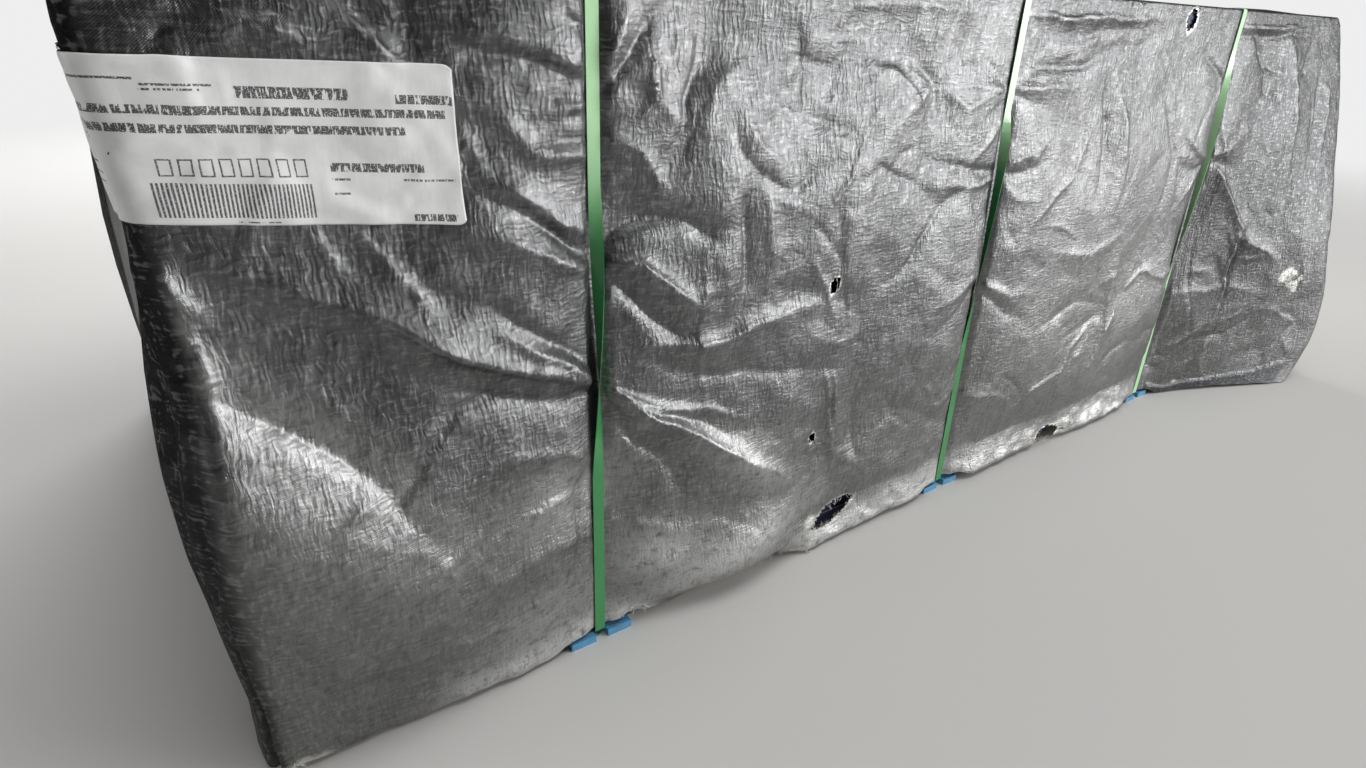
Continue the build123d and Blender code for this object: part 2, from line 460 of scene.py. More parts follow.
half_x = np.zeros((half_count, row_count))
half_y = np.zeros((half_count, row_count))
for row, height in enumerate(heights):
    stations = half_outline(min(height, crown))
    distances = [station[0] for station in stations]
    half_x[:, row] = np.interp(run, distances, [station[1] for station in stations])
    half_y[:, row] = np.interp(run, distances, [station[2] for station in stations])
half_x = soften(half_x, 2.0, 0)
half_y = soften(half_y, 2.0, 0)
half_x[0] = half_x[1]
half_x += stack_low[0]
half_y += stack_low[1]
half_y[0] = 0.0
half_y[-1] = 0.0

# The ring runs once round the bundle: along the front from the labelled end, and home along the back.
ring_x = np.concatenate([half_x, half_x[-2:0:-1]])
ring_y = np.concatenate([half_y, -half_y[-2:0:-1]])
ring_run = np.concatenate([run, 2 * front_end - run[-2:0:-1]])
ring_length = 2 * (front_end + 0.70)
ring_z = np.tile(heights, (len(ring_run), 1))
column_count = len(ring_run)

folds = np.zeros((column_count, row_count))
run_grid = np.tile(ring_run[:, None], (1, row_count))
sway = np.zeros_like(run_grid)


def value_noise(across, up, size_across, size_up, seed, period=None):
    """Smooth noise from -1 to 1, repeating round the ring where a period is given."""
    random = np.random.default_rng(seed)
    columns = max(2, int(round((period or 8.0) / size_across)))
    table = random.uniform(-1, 1, (columns, 256))
    a = (across + 1.0) / (period or 8.0) * columns
    b = (up + 1.0) / size_up
    a0 = np.floor(a).astype(int)
    b0 = np.floor(b).astype(int)
    fa = a - a0
    fb = b - b0
    fa = fa * fa * (3 - 2 * fa)
    fb = fb * fb * (3 - 2 * fb)
    a1 = (a0 + 1) % columns
    a0 = a0 % columns
    b1 = (b0 + 1) % 256
    b0 = b0 % 256
    low = table[a0, b0] * (1 - fa) + table[a1, b0] * fa
    high = table[a0, b1] * (1 - fa) + table[a1, b1] * fa
    return low * (1 - fb) + high * fb


def facet_noise(across, up, size, seed, period):
    """Flat facets that meet in sharp creases, from -1 to 1, as a crumpled sheet has."""
    random = np.random.default_rng(seed)
    columns = 2 * int(round(period / size / 2))
    table = random.uniform(-1, 1, (columns, 256))
    a = (across + 1.0) / period * columns
    b = (up + 1.0) / size + a * 0.5
    a0 = np.floor(a).astype(int)
    b0 = np.floor(b).astype(int)
    fa = a - a0
    fb = b - b0
    corner = lambda i, j: table[(a0 + i) % columns, (b0 + j - ((a0 + i) // columns) * (columns // 2)) % 256]
    first = corner(0, 0) * (1 - fa) + corner(1, 0) * (fa - fb) + corner(1, 1) * fb
    second = corner(0, 0) * (1 - fb) + corner(0, 1) * (fb - fa) + corner(1, 1) * fa
    return np.where(fa > fb, first, second)


def fold(points, width, height, spread=1.0, sharp=1.0, lean=0.0, held=True, field=None):
    """Press a ridge or a valley along a line; a held one starts at full height at its first point."""
    field = folds if field is None else field
    xs = np.array([p[0] for p in points])
    zs = np.array([p[1] for p in points])
    lengths = np.hypot(np.diff(xs), np.diff(zs))
    marks = np.append(0.0, np.cumsum(lengths)) / max(lengths.sum(), 1e-9)
    reach = 4.0 * width * max(1.0, spread) * (1 + abs(lean))
    middle = (xs.min() + xs.max()) / 2
    half = (xs.max() - xs.min()) / 2 + reach
    offset = (ring_run - middle + ring_length / 2) % ring_length - ring_length / 2
    columns = np.nonzero(np.abs(offset) < half)[0]
    rows = np.nonzero((heights > zs.min() - reach) & (heights < zs.max() + reach))[0]
    if len(columns) == 0 or len(rows) == 0:
        return
    window = np.ix_(columns, rows)
    px = (middle + offset[columns])[:, None] + warp_run[window]
    pz = heights[rows][None, :] + warp_up[window]
    best = np.full(px.shape, 1e9)
    side = np.zeros_like(best)
    along = np.zeros_like(best)
    for i in range(len(xs) - 1):
        dx = xs[i + 1] - xs[i]
        dz = zs[i + 1] - zs[i]
        size = dx * dx + dz * dz + 1e-12
        t = np.clip(((px - xs[i]) * dx + (pz - zs[i]) * dz) / size, 0, 1)
        ex = px - xs[i] - t * dx
        ez = pz - zs[i] - t * dz
        distance = np.hypot(ex, ez)
        closer = distance < best
        best = np.where(closer, distance, best)
        side = np.where(closer, np.sign(ex * dz - ez * dx), side)
        along = np.where(closer, marks[i] + t * (marks[i + 1] - marks[i]), along)
    local = width * (1 + (spread - 1) * along) * (1 + lean * side)
    if held:
        taper = (1 - along**2.2) * (0.55 + 0.45 * np.minimum(1, along * 5))
    else:
        taper = np.sin(math.pi * np.clip(along, 0.02, 0.98)) ** 0.7
    field[window] += height * taper * np.exp(-((best / local) ** sharp))


def swell(run_at, height_at, wide, tall, rise, turn=0.0):
    """A broad belly in the sheet."""
    offset = (run_grid - run_at + ring_length / 2) % ring_length - ring_length / 2
    up = ring_z - height_at
    c = math.cos(math.radians(turn))
    s = math.sin(math.radians(turn))
    folds[:] += rise * np.exp(-(((offset * c + up * s) / wide) ** 2) - ((up * c - offset * s) / tall) ** 2)


warp_run = 0.006 * value_noise(run_grid, ring_z, 0.06, 0.06, 11, ring_length)
warp_run += 0.0008 * value_noise(run_grid, ring_z, 0.022, 0.022, 12, ring_length)
warp_up = 0.006 * value_noise(run_grid, ring_z, 0.06, 0.06, 13, ring_length)
warp_up += 0.0008 * value_noise(run_grid, ring_z, 0.022, 0.022, 14, ring_length)

# Folds of the front: points as (distance from the labelled end, height), then width, height, spread.
front_folds = [
    # fan to the left of the first strap
    ([(0.381, 0.751), (0.33, 0.767), (0.25, 0.79), (0.18, 0.82)], 0.009, -0.009, 1.6),
    ([(0.378, 0.762), (0.32, 0.782), (0.24, 0.812)], 0.007, 0.006, 1.8),
    ([(0.381, 0.795), (0.338, 0.827)], 0.008, -0.007, 1.4),
    ([(0.381, 0.772), (0.338, 0.752)], 0.005, -0.004, 1.6),
    ([(0.381, 0.743), (0.34, 0.742), (0.298, 0.731)], 0.004, -0.005, 2.2),
    ([(0.381, 0.736), (0.33, 0.725)], 0.004, 0.004, 2.0),
    ([(0.381, 0.728), (0.33, 0.716), (0.29, 0.72)], 0.004, -0.004, 2.0),
    ([(0.380, 0.682), (0.317, 0.688), (0.275, 0.722), (0.237, 0.738)], 0.009, 0.008, 1.6),
    ([(0.380, 0.70), (0.32, 0.705), (0.29, 0.728)], 0.008, -0.006, 1.6),
    ([(0.378, 0.578), (0.355, 0.583), (0.298, 0.628), (0.233, 0.659)], 0.010, -0.012, 1.8),
    ([(0.378, 0.60), (0.34, 0.612), (0.285, 0.653), (0.24, 0.68)], 0.012, 0.009, 1.6),
    ([(0.376, 0.556), (0.34, 0.563), (0.27, 0.60), (0.2, 0.63)], 0.012, 0.008, 1.8),
    ([(0.24, 0.716), (0.255, 0.69), (0.27, 0.654)], 0.004, 0.003, 1.2),
    # across the label and above it
    ([(-0.06, 0.70), (-0.01, 0.735), (0.07, 0.752)], 0.006, 0.004, 1.4),
    ([(-0.05, 0.665), (0.01, 0.690), (0.10, 0.700), (0.20, 0.715)], 0.008, -0.004, 1.2),
    ([(0.03, 0.625), (0.06, 0.67), (0.07, 0.72), (0.06, 0.78)], 0.009, 0.004, 1.0),
    ([(0.236, 0.690), (0.19, 0.668), (0.13, 0.640)], 0.007, 0.0035, 1.3),
    ([(0.035, 0.815), (0.077, 0.805), (0.115, 0.783)], 0.010, 0.006, 1.2),
    ([(0.146, 0.805), (0.172, 0.783), (0.198, 0.77)], 0.007, 0.007, 1.2),
    ([(0.15, 0.812), (0.16, 0.795)], 0.006, -0.005, 1.2),
    ([(0.008, 0.813), (-0.006, 0.779)], 0.005, -0.007, 1.2),
    # the long ridge that the first strap pinches, and the belly under it
    ([(0.378, 0.409), (0.30, 0.44), (0.228, 0.475), (0.159, 0.521), (0.070, 0.573), (-0.004, 0.617), (-0.04, 0.634)], 0.018, 0.019, 1.6),
    ([(0.378, 0.414), (0.30, 0.466), (0.232, 0.521)], 0.008, 0.009, 1.7),
    ([(0.376, 0.43), (0.31, 0.485), (0.24, 0.535), (0.16, 0.58)], 0.012, -0.009, 2.0),
    ([(0.376, 0.395), (0.29, 0.41), (0.2, 0.445), (0.12, 0.50)], 0.012, -0.010, 1.8),
    ([(0.086, 0.63), (0.098, 0.605), (0.111, 0.582)], 0.003, 0.0035, 1.2),
    ([(0.124, 0.626), (0.165, 0.572), (0.21, 0.525)], 0.0035, 0.004, 1.2),
    ([(0.07, 0.339), (0.095, 0.355), (0.123, 0.364)], 0.006, 0.004, 1.2),
    ([(0.119, 0.222), (0.15, 0.221), (0.183, 0.227)], 0.005, 0.004, 1.2),
    ([(0.264, 0.261), (0.31, 0.268), (0.355, 0.268)], 0.006, 0.005, 1.2),
    ([(0.276, 0.114), (0.30, 0.118), (0.332, 0.117)], 0.006, 0.005, 1.2),
    ([(0.355, 0.268), (0.35, 0.17), (0.349, 0.075)], 0.006, -0.005, 1.2),
    ([(0.375, 0.326), (0.37, 0.28), (0.376, 0.237)], 0.006, -0.004, 1.2),
    ([(0.074, 0.124), (0.165, 0.118), (0.254, 0.109), (0.284, 0.105)], 0.007, 0.005, 1.2),
    ([(0.38, 0.30), (0.33, 0.33), (0.25, 0.34), (0.16, 0.33)], 0.012, 0.007, 2.0),
    ([(0.38, 0.19), (0.30, 0.20), (0.2, 0.175), (0.1, 0.17)], 0.012, 0.005, 2.0),
    # the edge of the shaded hollow under the long ridge
    ([(-0.039, 0.50), (0.032, 0.446), (0.073, 0.405), (0.117, 0.349), (0.154, 0.283), (0.187, 0.219)], 0.014, -0.008, 1.3),
    # between the first and the second strap
    ([(0.406, 0.751), (0.43, 0.772), (0.451, 0.799), (0.472, 0.836)], 0.010, -0.010, 1.5),
    ([(0.400, 0.77), (0.42, 0.80), (0.43, 0.84)], 0.010, 0.006, 1.5),
    ([(0.464, 0.771), (0.465, 0.738), (0.44, 0.704)], 0.005, 0.007, 1.2),
    ([(0.544, 0.839), (0.53, 0.778), (0.508, 0.74), (0.501, 0.702), (0.472, 0.65)], 0.013, -0.012, 1.1),
    ([(0.40, 0.70), (0.44, 0.68), (0.49, 0.625)], 0.010, 0.006, 1.5),
    ([(0.535, 0.693), (0.545, 0.749), (0.592, 0.773), (0.668, 0.774)], 0.016, 0.003, 1.2),
    ([(0.674, 0.802), (0.688, 0.76), (0.695, 0.718)], 0.010, -0.004, 1.2),
    ([(0.571, 0.715), (0.592, 0.667), (0.622, 0.643), (0.67, 0.615), (0.723, 0.588)], 0.008, -0.0035, 2.0),
    ([(0.60, 0.71), (0.625, 0.68), (0.68, 0.64)], 0.014, 0.004, 1.3),
    ([(0.696, 0.712), (0.77, 0.69), (0.85, 0.667)], 0.022, -0.007, 1.2),
    ([(0.814, 0.771), (0.87, 0.762), (0.905, 0.741), (0.936, 0.709), (0.934, 0.642)], 0.009, 0.004, 1.2),
    ([(0.83, 0.80), (0.91, 0.78), (0.96, 0.74), (0.97, 0.67)], 0.013, -0.008, 1.2),
    ([(0.696, 0.804), (0.76, 0.806), (0.827, 0.806), (0.825, 0.753)], 0.003, 0.0025, 1.0),
    ([(0.401, 0.588), (0.45, 0.605), (0.504, 0.598), (0.576, 0.549)], 0.012, -0.012, 1.5),
    ([(0.401, 0.56), (0.44, 0.55), (0.475, 0.528), (0.52, 0.49), (0.556, 0.471)], 0.012, 0.012, 1.3),
    ([(0.41, 0.53), (0.433, 0.515), (0.47, 0.47), (0.496, 0.446), (0.524, 0.448)], 0.010, -0.010, 1.3),
    ([(0.465, 0.444), (0.53, 0.432), (0.60, 0.434), (0.69, 0.45), (0.777, 0.46)], 0.014, 0.010, 1.2),
    ([(0.482, 0.408), (0.57, 0.38), (0.671, 0.361), (0.74, 0.345), (0.813, 0.335)], 0.020, -0.007, 1.2),
    ([(0.597, 0.611), (0.605, 0.55), (0.598, 0.452)], 0.011, -0.009, 1.1),
    ([(0.64, 0.60), (0.65, 0.53), (0.64, 0.47)], 0.012, 0.006, 1.1),
    ([(0.808, 0.45), (0.82, 0.40), (0.827, 0.332)], 0.006, 0.004, 1.0),
    ([(0.775, 0.325), (0.80, 0.24), (0.83, 0.133)], 0.0045, 0.005, 1.0),
    ([(0.789, 0.325), (0.815, 0.24), (0.845, 0.133)], 0.0045, 0.005, 1.0),
    ([(0.395, 0.398), (0.456, 0.352), (0.558, 0.275), (0.66, 0.205), (0.747, 0.150)], 0.013, 0.017, 2.4),
    ([(0.395, 0.398), (0.44, 0.372), (0.499, 0.344), (0.63, 0.30)], 0.008, 0.009, 2.4),
    ([(0.395, 0.39), (0.45, 0.36), (0.52, 0.32), (0.61, 0.265)], 0.006, -0.008, 2.2),
    ([(0.397, 0.38), (0.43, 0.33), (0.48, 0.27), (0.53, 0.18)], 0.010, -0.009, 2.2),
    ([(0.80, 0.307), (0.815, 0.2), (0.84, 0.10)], 0.008, 0.004, 1.2),
    ([(0.85, 0.30), (0.87, 0.2), (0.90, 0.09)], 0.012, -0.005, 1.2),
    ([(0.40, 0.2), (0.5, 0.16), (0.62, 0.13), (0.72, 0.14)], 0.014, 0.003, 1.4),
    # gathered at the second strap
    ([(1.148, 0.61), (1.09, 0.617), (1.028, 0.627), (0.932, 0.649)], 0.010, -0.008, 1.8),
    ([(1.148, 0.60), (1.09, 0.59), (1.02, 0.597), (0.95, 0.60)], 0.010, 0.006, 1.8),
    ([(1.148, 0.745), (1.10, 0.76), (1.05, 0.79), (1.0, 0.83)], 0.008, -0.006, 1.8),
    ([(1.148, 0.735), (1.09, 0.735), (1.02, 0.75)], 0.007, 0.004, 1.8),
    ([(1.148, 0.72), (1.10, 0.70), (1.05, 0.67)], 0.007, -0.003, 1.8),
    ([(1.157, 0.743), (1.22, 0.738), (1.324, 0.731), (1.393, 0.743)], 0.009, 0.006, 1.5),
    ([(1.157, 0.73), (1.22, 0.71), (1.3, 0.70)], 0.009, -0.004, 1.8),
    ([(1.157, 0.76), (1.23, 0.765), (1.347, 0.766), (1.413, 0.786), (1.55, 0.81), (1.681, 0.845)], 0.010, -0.008, 1.4),
    ([(1.157, 0.615), (1.22, 0.63), (1.30, 0.665)], 0.008, 0.004, 2.0),
    ([(1.157, 0.60), (1.22, 0.60), (1.31, 0.62)], 0.008, -0.004, 2.0),
    ([(1.157, 0.59), (1.21, 0.565), (1.30, 0.55)], 0.008, 0.003, 2.0),
    ([(1.148, 0.44), (1.08, 0.41), (0.99, 0.40)], 0.010, 0.004, 2.0),
    ([(1.148, 0.42), (1.08, 0.38), (1.0, 0.35)], 0.010, -0.004, 2.0),
    ([(1.157, 0.42), (1.24, 0.38), (1.35, 0.37)], 0.012, 0.004, 2.0),
    ([(1.157, 0.40), (1.24, 0.345), (1.33, 0.31)], 0.012, -0.004, 2.0),
    ([(1.148, 0.22), (1.08, 0.2), (0.98, 0.15)], 0.010, 0.003, 2.0),
    ([(1.157, 0.2), (1.25, 0.18), (1.36, 0.12)], 0.012, 0.003, 2.0),
    ([(1.152, 0.843), (1.13, 0.81), (1.09, 0.78)], 0.006, -0.005, 1.6),
    ([(1.152, 0.843), (1.18, 0.81), (1.23, 0.79)], 0.006, -0.005, 1.6),
    # between the second and the third strap
    ([(1.44, 0.72), (1.47, 0.62), (1.45, 0.52)], 0.016, -0.008, 1.2),
    ([(1.50, 0.70), (1.54, 0.60), (1.53, 0.5)], 0.016, 0.007, 1.2),
    ([(1.38, 0.45), (1.48, 0.43), (1.6, 0.46)], 0.018, 0.004, 1.2),
    ([(1.36, 0.30), (1.48, 0.33), (1.62, 0.30)], 0.018, -0.004, 1.2),
    ([(1.60, 0.40), (1.63, 0.28), (1.60, 0.15)], 0.014, 0.004, 1.2),
    ([(1.912, 0.58), (1.84, 0.60), (1.74, 0.65)], 0.010, 0.005, 2.0),
    ([(1.912, 0.57), (1.84, 0.565), (1.75, 0.58)], 0.009, -0.005, 2.0),
    ([(1.912, 0.74), (1.86, 0.76), (1.78, 0.80)], 0.009, -0.007, 2.0),
    ([(1.912, 0.34), (1.83, 0.33), (1.74, 0.36)], 0.010, 0.003, 2.0),
    ([(1.912, 0.18), (1.84, 0.2), (1.76, 0.18)], 0.010, -0.003, 2.0),
    # past the third strap, where the side hangs free
    ([(1.924, 0.585), (1.99, 0.60), (2.08, 0.65)], 0.010, 0.005, 2.0),
    ([(1.924, 0.57), (1.99, 0.56), (2.07, 0.56)], 0.010, -0.005, 2.0),
    ([(1.924, 0.28), (1.958, 0.269), (2.12, 0.27), (2.308, 0.245)], 0.014, 0.003, 1.4),
    ([(1.954, 0.564), (2.03, 0.50), (2.106, 0.43), (2.20, 0.375), (2.302, 0.332)], 0.022, 0.013, 1.2),
    ([(2.005, 0.83), (2.087, 0.761), (2.10, 0.713), (2.165, 0.682)], 0.018, -0.010, 1.2),
    ([(2.120, 0.40), (2.118, 0.28), (2.116, 0.164), (2.121, 0.06)], 0.007, 0.009, 1.2),
    ([(2.145, 0.41), (2.13, 0.28), (2.12, 0.164), (2.135, 0.08)], 0.012, -0.010, 1.2),
    ([(2.119, 0.402), (2.19, 0.375), (2.259, 0.346), (2.316, 0.313)], 0.008, 0.004, 1.2),
    ([(2.402, 0.719), (2.395, 0.63), (2.383, 0.55)], 0.008, 0.005, 1.2),
    ([(2.35, 0.74), (2.345, 0.65), (2.33, 0.5)], 0.010, -0.006, 1.2),
    ([(2.20, 0.80), (2.24, 0.66), (2.25, 0.5)], 0.020, 0.009, 1.2),
    # the crease just under the top edge
    ([(0.771, 0.848), (1.036, 0.847), (1.148, 0.842)], 0.006, 0.005, 1.0),
    ([(1.157, 0.842), (1.4, 0.846), (1.665, 0.851)], 0.006, 0.009, 1.0),
    ([(1.22, 0.812), (1.42, 0.822), (1.60, 0.838)], 0.008, -0.008, 1.0),
    ([(1.924, 0.848), (2.2, 0.851), (2.429, 0.852)], 0.006, 0.008, 1.0),
    ([(1.93, 0.828), (2.12, 0.832), (2.38, 0.838)], 0.007, -0.006, 1.0),
]
for points, width, height, spread in front_folds:
    fold(points, width, height * 1.1, spread, lean=0.5 if height > 0 else -0.4)

# The tuck at the near corner: the front is folded over the end in a deep narrow crease.
tuck = np.zeros_like(folds)
tuck_folds = [
    ([(-0.051, 0.0), (-0.051, 0.15), (-0.050, 0.27), (-0.049, 0.38), (-0.040, 0.486)], 0.0045, -0.020, 1.0),
    ([(-0.045, 0.0), (-0.045, 0.15), (-0.044, 0.27), (-0.043, 0.38), (-0.036, 0.486)], 0.006, 0.006, 1.0),
    ([(-0.045, 0.486), (-0.068, 0.569), (-0.066, 0.628), (-0.075, 0.646)], 0.008, 0.006, 1.2),
    ([(-0.012, 0.559), (-0.022, 0.574), (-0.065, 0.624)], 0.005, 0.005, 1.2),
    ([(-0.046, 0.615), (-0.032, 0.556), (-0.028, 0.495), (-0.022, 0.440)], 0.009, 0.008, 1.2),
]
for points, width, height, spread in tuck_folds:
    fold(points, width, height, spread, field=tuck)

# The same hands pulled the back tight, so it is creased in the same way, read from its other end.
for points, width, height, spread in front_folds:
    mirrored = [(2 * front_end - (stack_long - x), z * 0.92 + 0.03) for x, z in points]
    fold(mirrored, width * 1.15, height * 0.9, spread * 1.1)

swells = [
    # distance, height, half width, half height, rise, turn
    (0.011, 0.309, 0.24, 0.10, 0.036, -51.0),
    (0.2, 0.30, 0.16, 0.12, 0.007, 0.0),
    (0.2, 0.06, 0.14, 0.06, 0.003, 0.0),
    (0.74, 0.55, 0.22, 0.14, 0.006, 0.0),
    (0.62, 0.17, 0.14, 0.1, 0.006, -20.0),
    (1.0, 0.5, 0.1, 0.12, 0.004, 0.0),
    (0.98, 0.25, 0.12, 0.10, 0.006, 0.0),
    (1.5, 0.55, 0.22, 0.18, 0.007, 0.0),
    (1.5, 0.14, 0.28, 0.08, 0.008, 0.0),
    (1.42, 0.22, 0.14, 0.10, 0.006, 0.0),
    (1.72, 0.25, 0.12, 0.12, 0.006, 0.0),
    (2.2, 0.6, 0.12, 0.14, 0.006, 0.0),
]
for spot in swells:
    swell(*spot)
    swell(2 * front_end - (stack_long - spot[0]), *spot[1:])

# Ends: the spare width is folded over and hangs in long tapering pleats from the top corners.
end_pleats = [
    # from (distance back from the front, height) to the same, width, height
    ((0.14, 0.85), (0.26, 0.02), 0.012, 0.012),
    ((0.12, 0.85), (0.40, 0.05), 0.020, -0.014),
    ((0.14, 0.86), (0.52, 0.30), 0.016, 0.012),
    ((0.30, 0.80), (0.58, 0.35), 0.022, -0.008),
    ((0.16, 0.50), (0.20, 0.02), 0.018, -0.010),
    ((0.36, 0.45), (0.34, 0.02), 0.022, 0.012),
    ((0.50, 0.55), (0.55, 0.02), 0.024, -0.010),
]
for start, finish, width, height in end_pleats:
    for mirror in (1, -1):
        for end_middle, turn in ((-0.70, 1), (front_end, -1)):
            uneven = 1.0 + 0.15 * mirror * turn
            line = []
            for share in (0.0, 0.4, 0.75, 1.0):
                back = start[0] + (finish[0] - start[0]) * share * uneven
                up = start[1] + (finish[1] - start[1]) * share
                line.append((end_middle + turn * mirror * (half_wide + 0.06 - back), up))
            fold(line, width, height, 1.6, sharp=1.6, lean=0.3 * mirror * turn)


def crumple(count, seed, low, high, long, deep):
    """Short sharp creases scattered over the sheet, as handling leaves them."""
    random = np.random.default_rng(seed)
    for _ in range(count):
        at = random.uniform(0, ring_length) - 0.7
        up = random.uniform(low, high)
        turn = random.uniform(0, math.pi)
        length = random.uniform(*long)
        depth = random.uniform(*deep) * random.choice((-1, 1))
        bend = random.uniform(-0.35, 0.35)
        dx = length * math.cos(turn) / 2
        dz = length * math.sin(turn) / 2
        line = [(at - dx, up - dz), (at + bend * dz, up - bend * dx), (at + dx, up + dz)]
        fold(line, random.uniform(0.004, 0.010), depth, 1.0, sharp=1.2, held=False)


crumple(500, 21, 0.0, 0.86, (0.03, 0.14), (0.0008, 0.0024))
crumple(160, 22, 0.0, 0.86, (0.12, 0.3), (0.0015, 0.004))

uneven = value_noise(run_grid, ring_z, 0.26, 0.2, 31, ring_length) * 0.006
bent_run = run_grid + warp_run * 3.5
bent_up = ring_z + warp_up * 3.5
facets = facet_noise(bent_run, bent_up, 0.13, 32, ring_length) * 0.0085
facets += facet_noise(bent_run, bent_up, 0.056, 33, ring_length) * 0.0020
facets += facet_noise(run_grid + warp_run, ring_z + warp_up, 0.028, 34, ring_length) * 0.0009
facets += facet_noise(run_grid + warp_run, ring_z + warp_up, 0.014, 35, ring_length) * 0.0005
facets *= np.interp(np.minimum(run_grid, 2 * front_end - run_grid), (1.05, 1.25, 1.90, 2.05), (1.0, 0.52, 0.52, 0.55))
uneven += soften(soften(facets, 0.4, 0, wrap=True), 0.4, 1)
folds += uneven

# The straps and the top edge hold the sheet against the stack.
strap_pull = np.ones_like(folds)
strap_press = np.ones_like(folds)
for place in straps_at:
    for at in (place, 2 * front_end - place):
        away = np.abs((run_grid - at + ring_length / 2) % ring_length - ring_length / 2)
        strap_pull = np.minimum(strap_pull, 1 - np.exp(-((away / 0.05) ** 1.4)))
        strap_press = np.minimum(strap_press, 1 - np.exp(-((away / 0.013) ** 4)))
mirror_run = np.where(ring_run > front_end, 2 * front_end - ring_run, ring_run)
edge_pull = 1 - np.exp(-(((crown - ring_z) / 0.022) ** 1.2))
belly = 0.020 * strap_pull * np.sin(math.pi * np.clip(1 - ring_z / crown, 0, 1) ** 1.3)
foot = np.clip(ring_z / 0.13, 0, 1)
foot_hold = 0.25 + 0.75 * foot * foot * (3 - 2 * foot)
# Between the straps the foot of the sheet kicks out, and its crumpled hem catches the light.
kick_height = 0.072
kick_reach = 0.025
hem_curl = 0.009
kick_marks = (
    # distance, share of the reach
    (-0.05, 0.2), (0.08, 0.1), (0.18, 0.5), (0.33, 0.6), (0.47, 0.5), (0.60, 0.3), (0.70, 0.5), (0.76, 0.7),
    (0.82, 0.8), (0.95, 0.8), (1.13, 0.9), (1.30, 0.9), (1.52, 0.8), (1.70, 1.0), (1.88, 0.9), (1.97, 0.0), (2.60, 0.0),
)
kick = np.interp(mirror_run, *zip(*kick_marks))[:, None]
kick = kick * (1 + 0.15 * value_noise(run_grid, run_grid * 0, 0.11, 1.0, 44, ring_length))
kick_full = kick
for place in straps_at:
    clear_run = np.where(mirror_run < place, 0.10, 0.06)
    away = np.abs(mirror_run - place)
    kick = kick * (1 - 0.55 * np.exp(-((away / clear_run) ** 4)))[:, None]
    kick = kick * (1 - np.exp(-((away / 0.020) ** 4)))[:, None]
hem_zone = np.clip(1 - ring_z / kick_height, 0, 1)
kick_out = kick_reach * kick * hem_zone**1.1
crinkle = facet_noise(run_grid + warp_run, ring_z, 0.016, 45, ring_length) * 0.0024
crinkle += facet_noise(run_grid + warp_run, ring_z, 0.034, 46, ring_length) * 0.0030
kick_out += crinkle * kick * np.sqrt(hem_zone)
kick_out += 0.034 * np.exp(-(((mirror_run[:, None] - 0.62) / 0.13) ** 2) - ((ring_z - 0.060) / 0.070) ** 2)
kick_out += 0.012 * np.exp(-(((mirror_run[:, None] - 0.47) / 0.05) ** 2) - ((ring_z - 0.095) / 0.045) ** 2)
curl_marks = ((0.42, 0.0), (0.48, 1.0), (0.72, 1.0), (0.78, 0.0))
kick_out -= 0.033 * np.clip(1 - ring_z / 0.040, 0, 1) ** 1.2 * np.interp(mirror_run, *zip(*curl_marks))[:, None]
kick_out -= 0.007 * np.clip(1 - ring_z / hem_curl, 0, 1) ** 1.5 * kick

# Past the third strap the hem is turned up on the outside, in a band that widens to the far end.
turn_run, turn_top = zip((1.953, 0.020), (2.142, 0.025), (2.307, 0.037), (2.410, 0.060))
turned = np.clip((np.interp(mirror_run, turn_run, turn_top)[:, None] - ring_z) / 0.003, 0, 1)
turned = turned * ((mirror_run > turn_run[0]) & (mirror_run < turn_run[-1]))[:, None]
corner_hold = 1 - 0.75 * np.clip((-mirror_run - 0.035) / 0.03, 0, 1)[:, None]
lift = (belly + folds * foot_hold) * edge_pull * strap_press * corner_hold - 0.0032 * (1 - strap_press)
lift += tuck * edge_pull + kick_out + 0.003 * turned

tangent_x = np.roll(ring_x, -1, 0) - np.roll(ring_x, 1, 0)
tangent_y = np.roll(ring_y, -1, 0) - np.roll(ring_y, 1, 0)
tangent = np.hypot(tangent_x, tangent_y)
out_x = tangent_y / tangent
out_y = -tangent_x / tangent
px = ring_x + out_x * lift
py = ring_y + out_y * lift
pz = ring_z.copy()

_d = np.stack([px - stack_low[0] + 0.0653, py - stack_low[1] + 0.7952, pz - 0.8153], -1)
_side = _d[:, :, 0] / np.maximum(_d[:, :, 1], 1e-6)
for _z in (0.05, 0.2, 0.34, 0.45, 0.52, 0.58, 0.645, 0.687, 0.745, 0.79, 0.82):
    _r = int(np.argmin(abs(heights - _z))); _n = run < 0.4
    _c = int(np.argmin(np.where(run < 0.4, _side[:half_count, _r], 9)))
    print("silhouette", _z, "run %.3f x %.4f y %.4f side at y0 %.4f" % (run[_c], px[_c, _r] - stack_low[0], py[_c, _r] - stack_low[1], _side[_c, _r] * 0.7952 - 0.0653))
# Nothing goes into the stack.
clear = 0.0012


def keep_out(value, limit):
    """Bend a distance smoothly so that it stays past the limit."""
    soft = 0.0015
    return limit + soft * np.logaddexp(0, (value - limit) / soft)


beside = (px > stack_low[0]) & (px < stack_high[0])
py = np.where(beside & (ring_y < 0), -keep_out(-py, stack_high[1] + clear), py)
py = np.where(beside & (ring_y > 0), keep_out(py, stack_high[1] + clear), py)
between = (py > stack_low[1]) & (py < stack_high[1])
px = np.where(between & (ring_x < 0), -keep_out(-px, stack_high[0] + clear), px)
px = np.where(between & (ring_x > 0), keep_out(px, stack_high[0] + clear), px)

# The shoulder: the last rows turn in over the top edge.
shoulder_x = np.sign(px) * draw_in[None, :] * (np.abs(px) > stack_high[0])
shoulder_y = np.sign(py) * draw_in[None, :] * (np.abs(py) > stack_high[1])
px = px - shoulder_x
py = py - shoulder_y

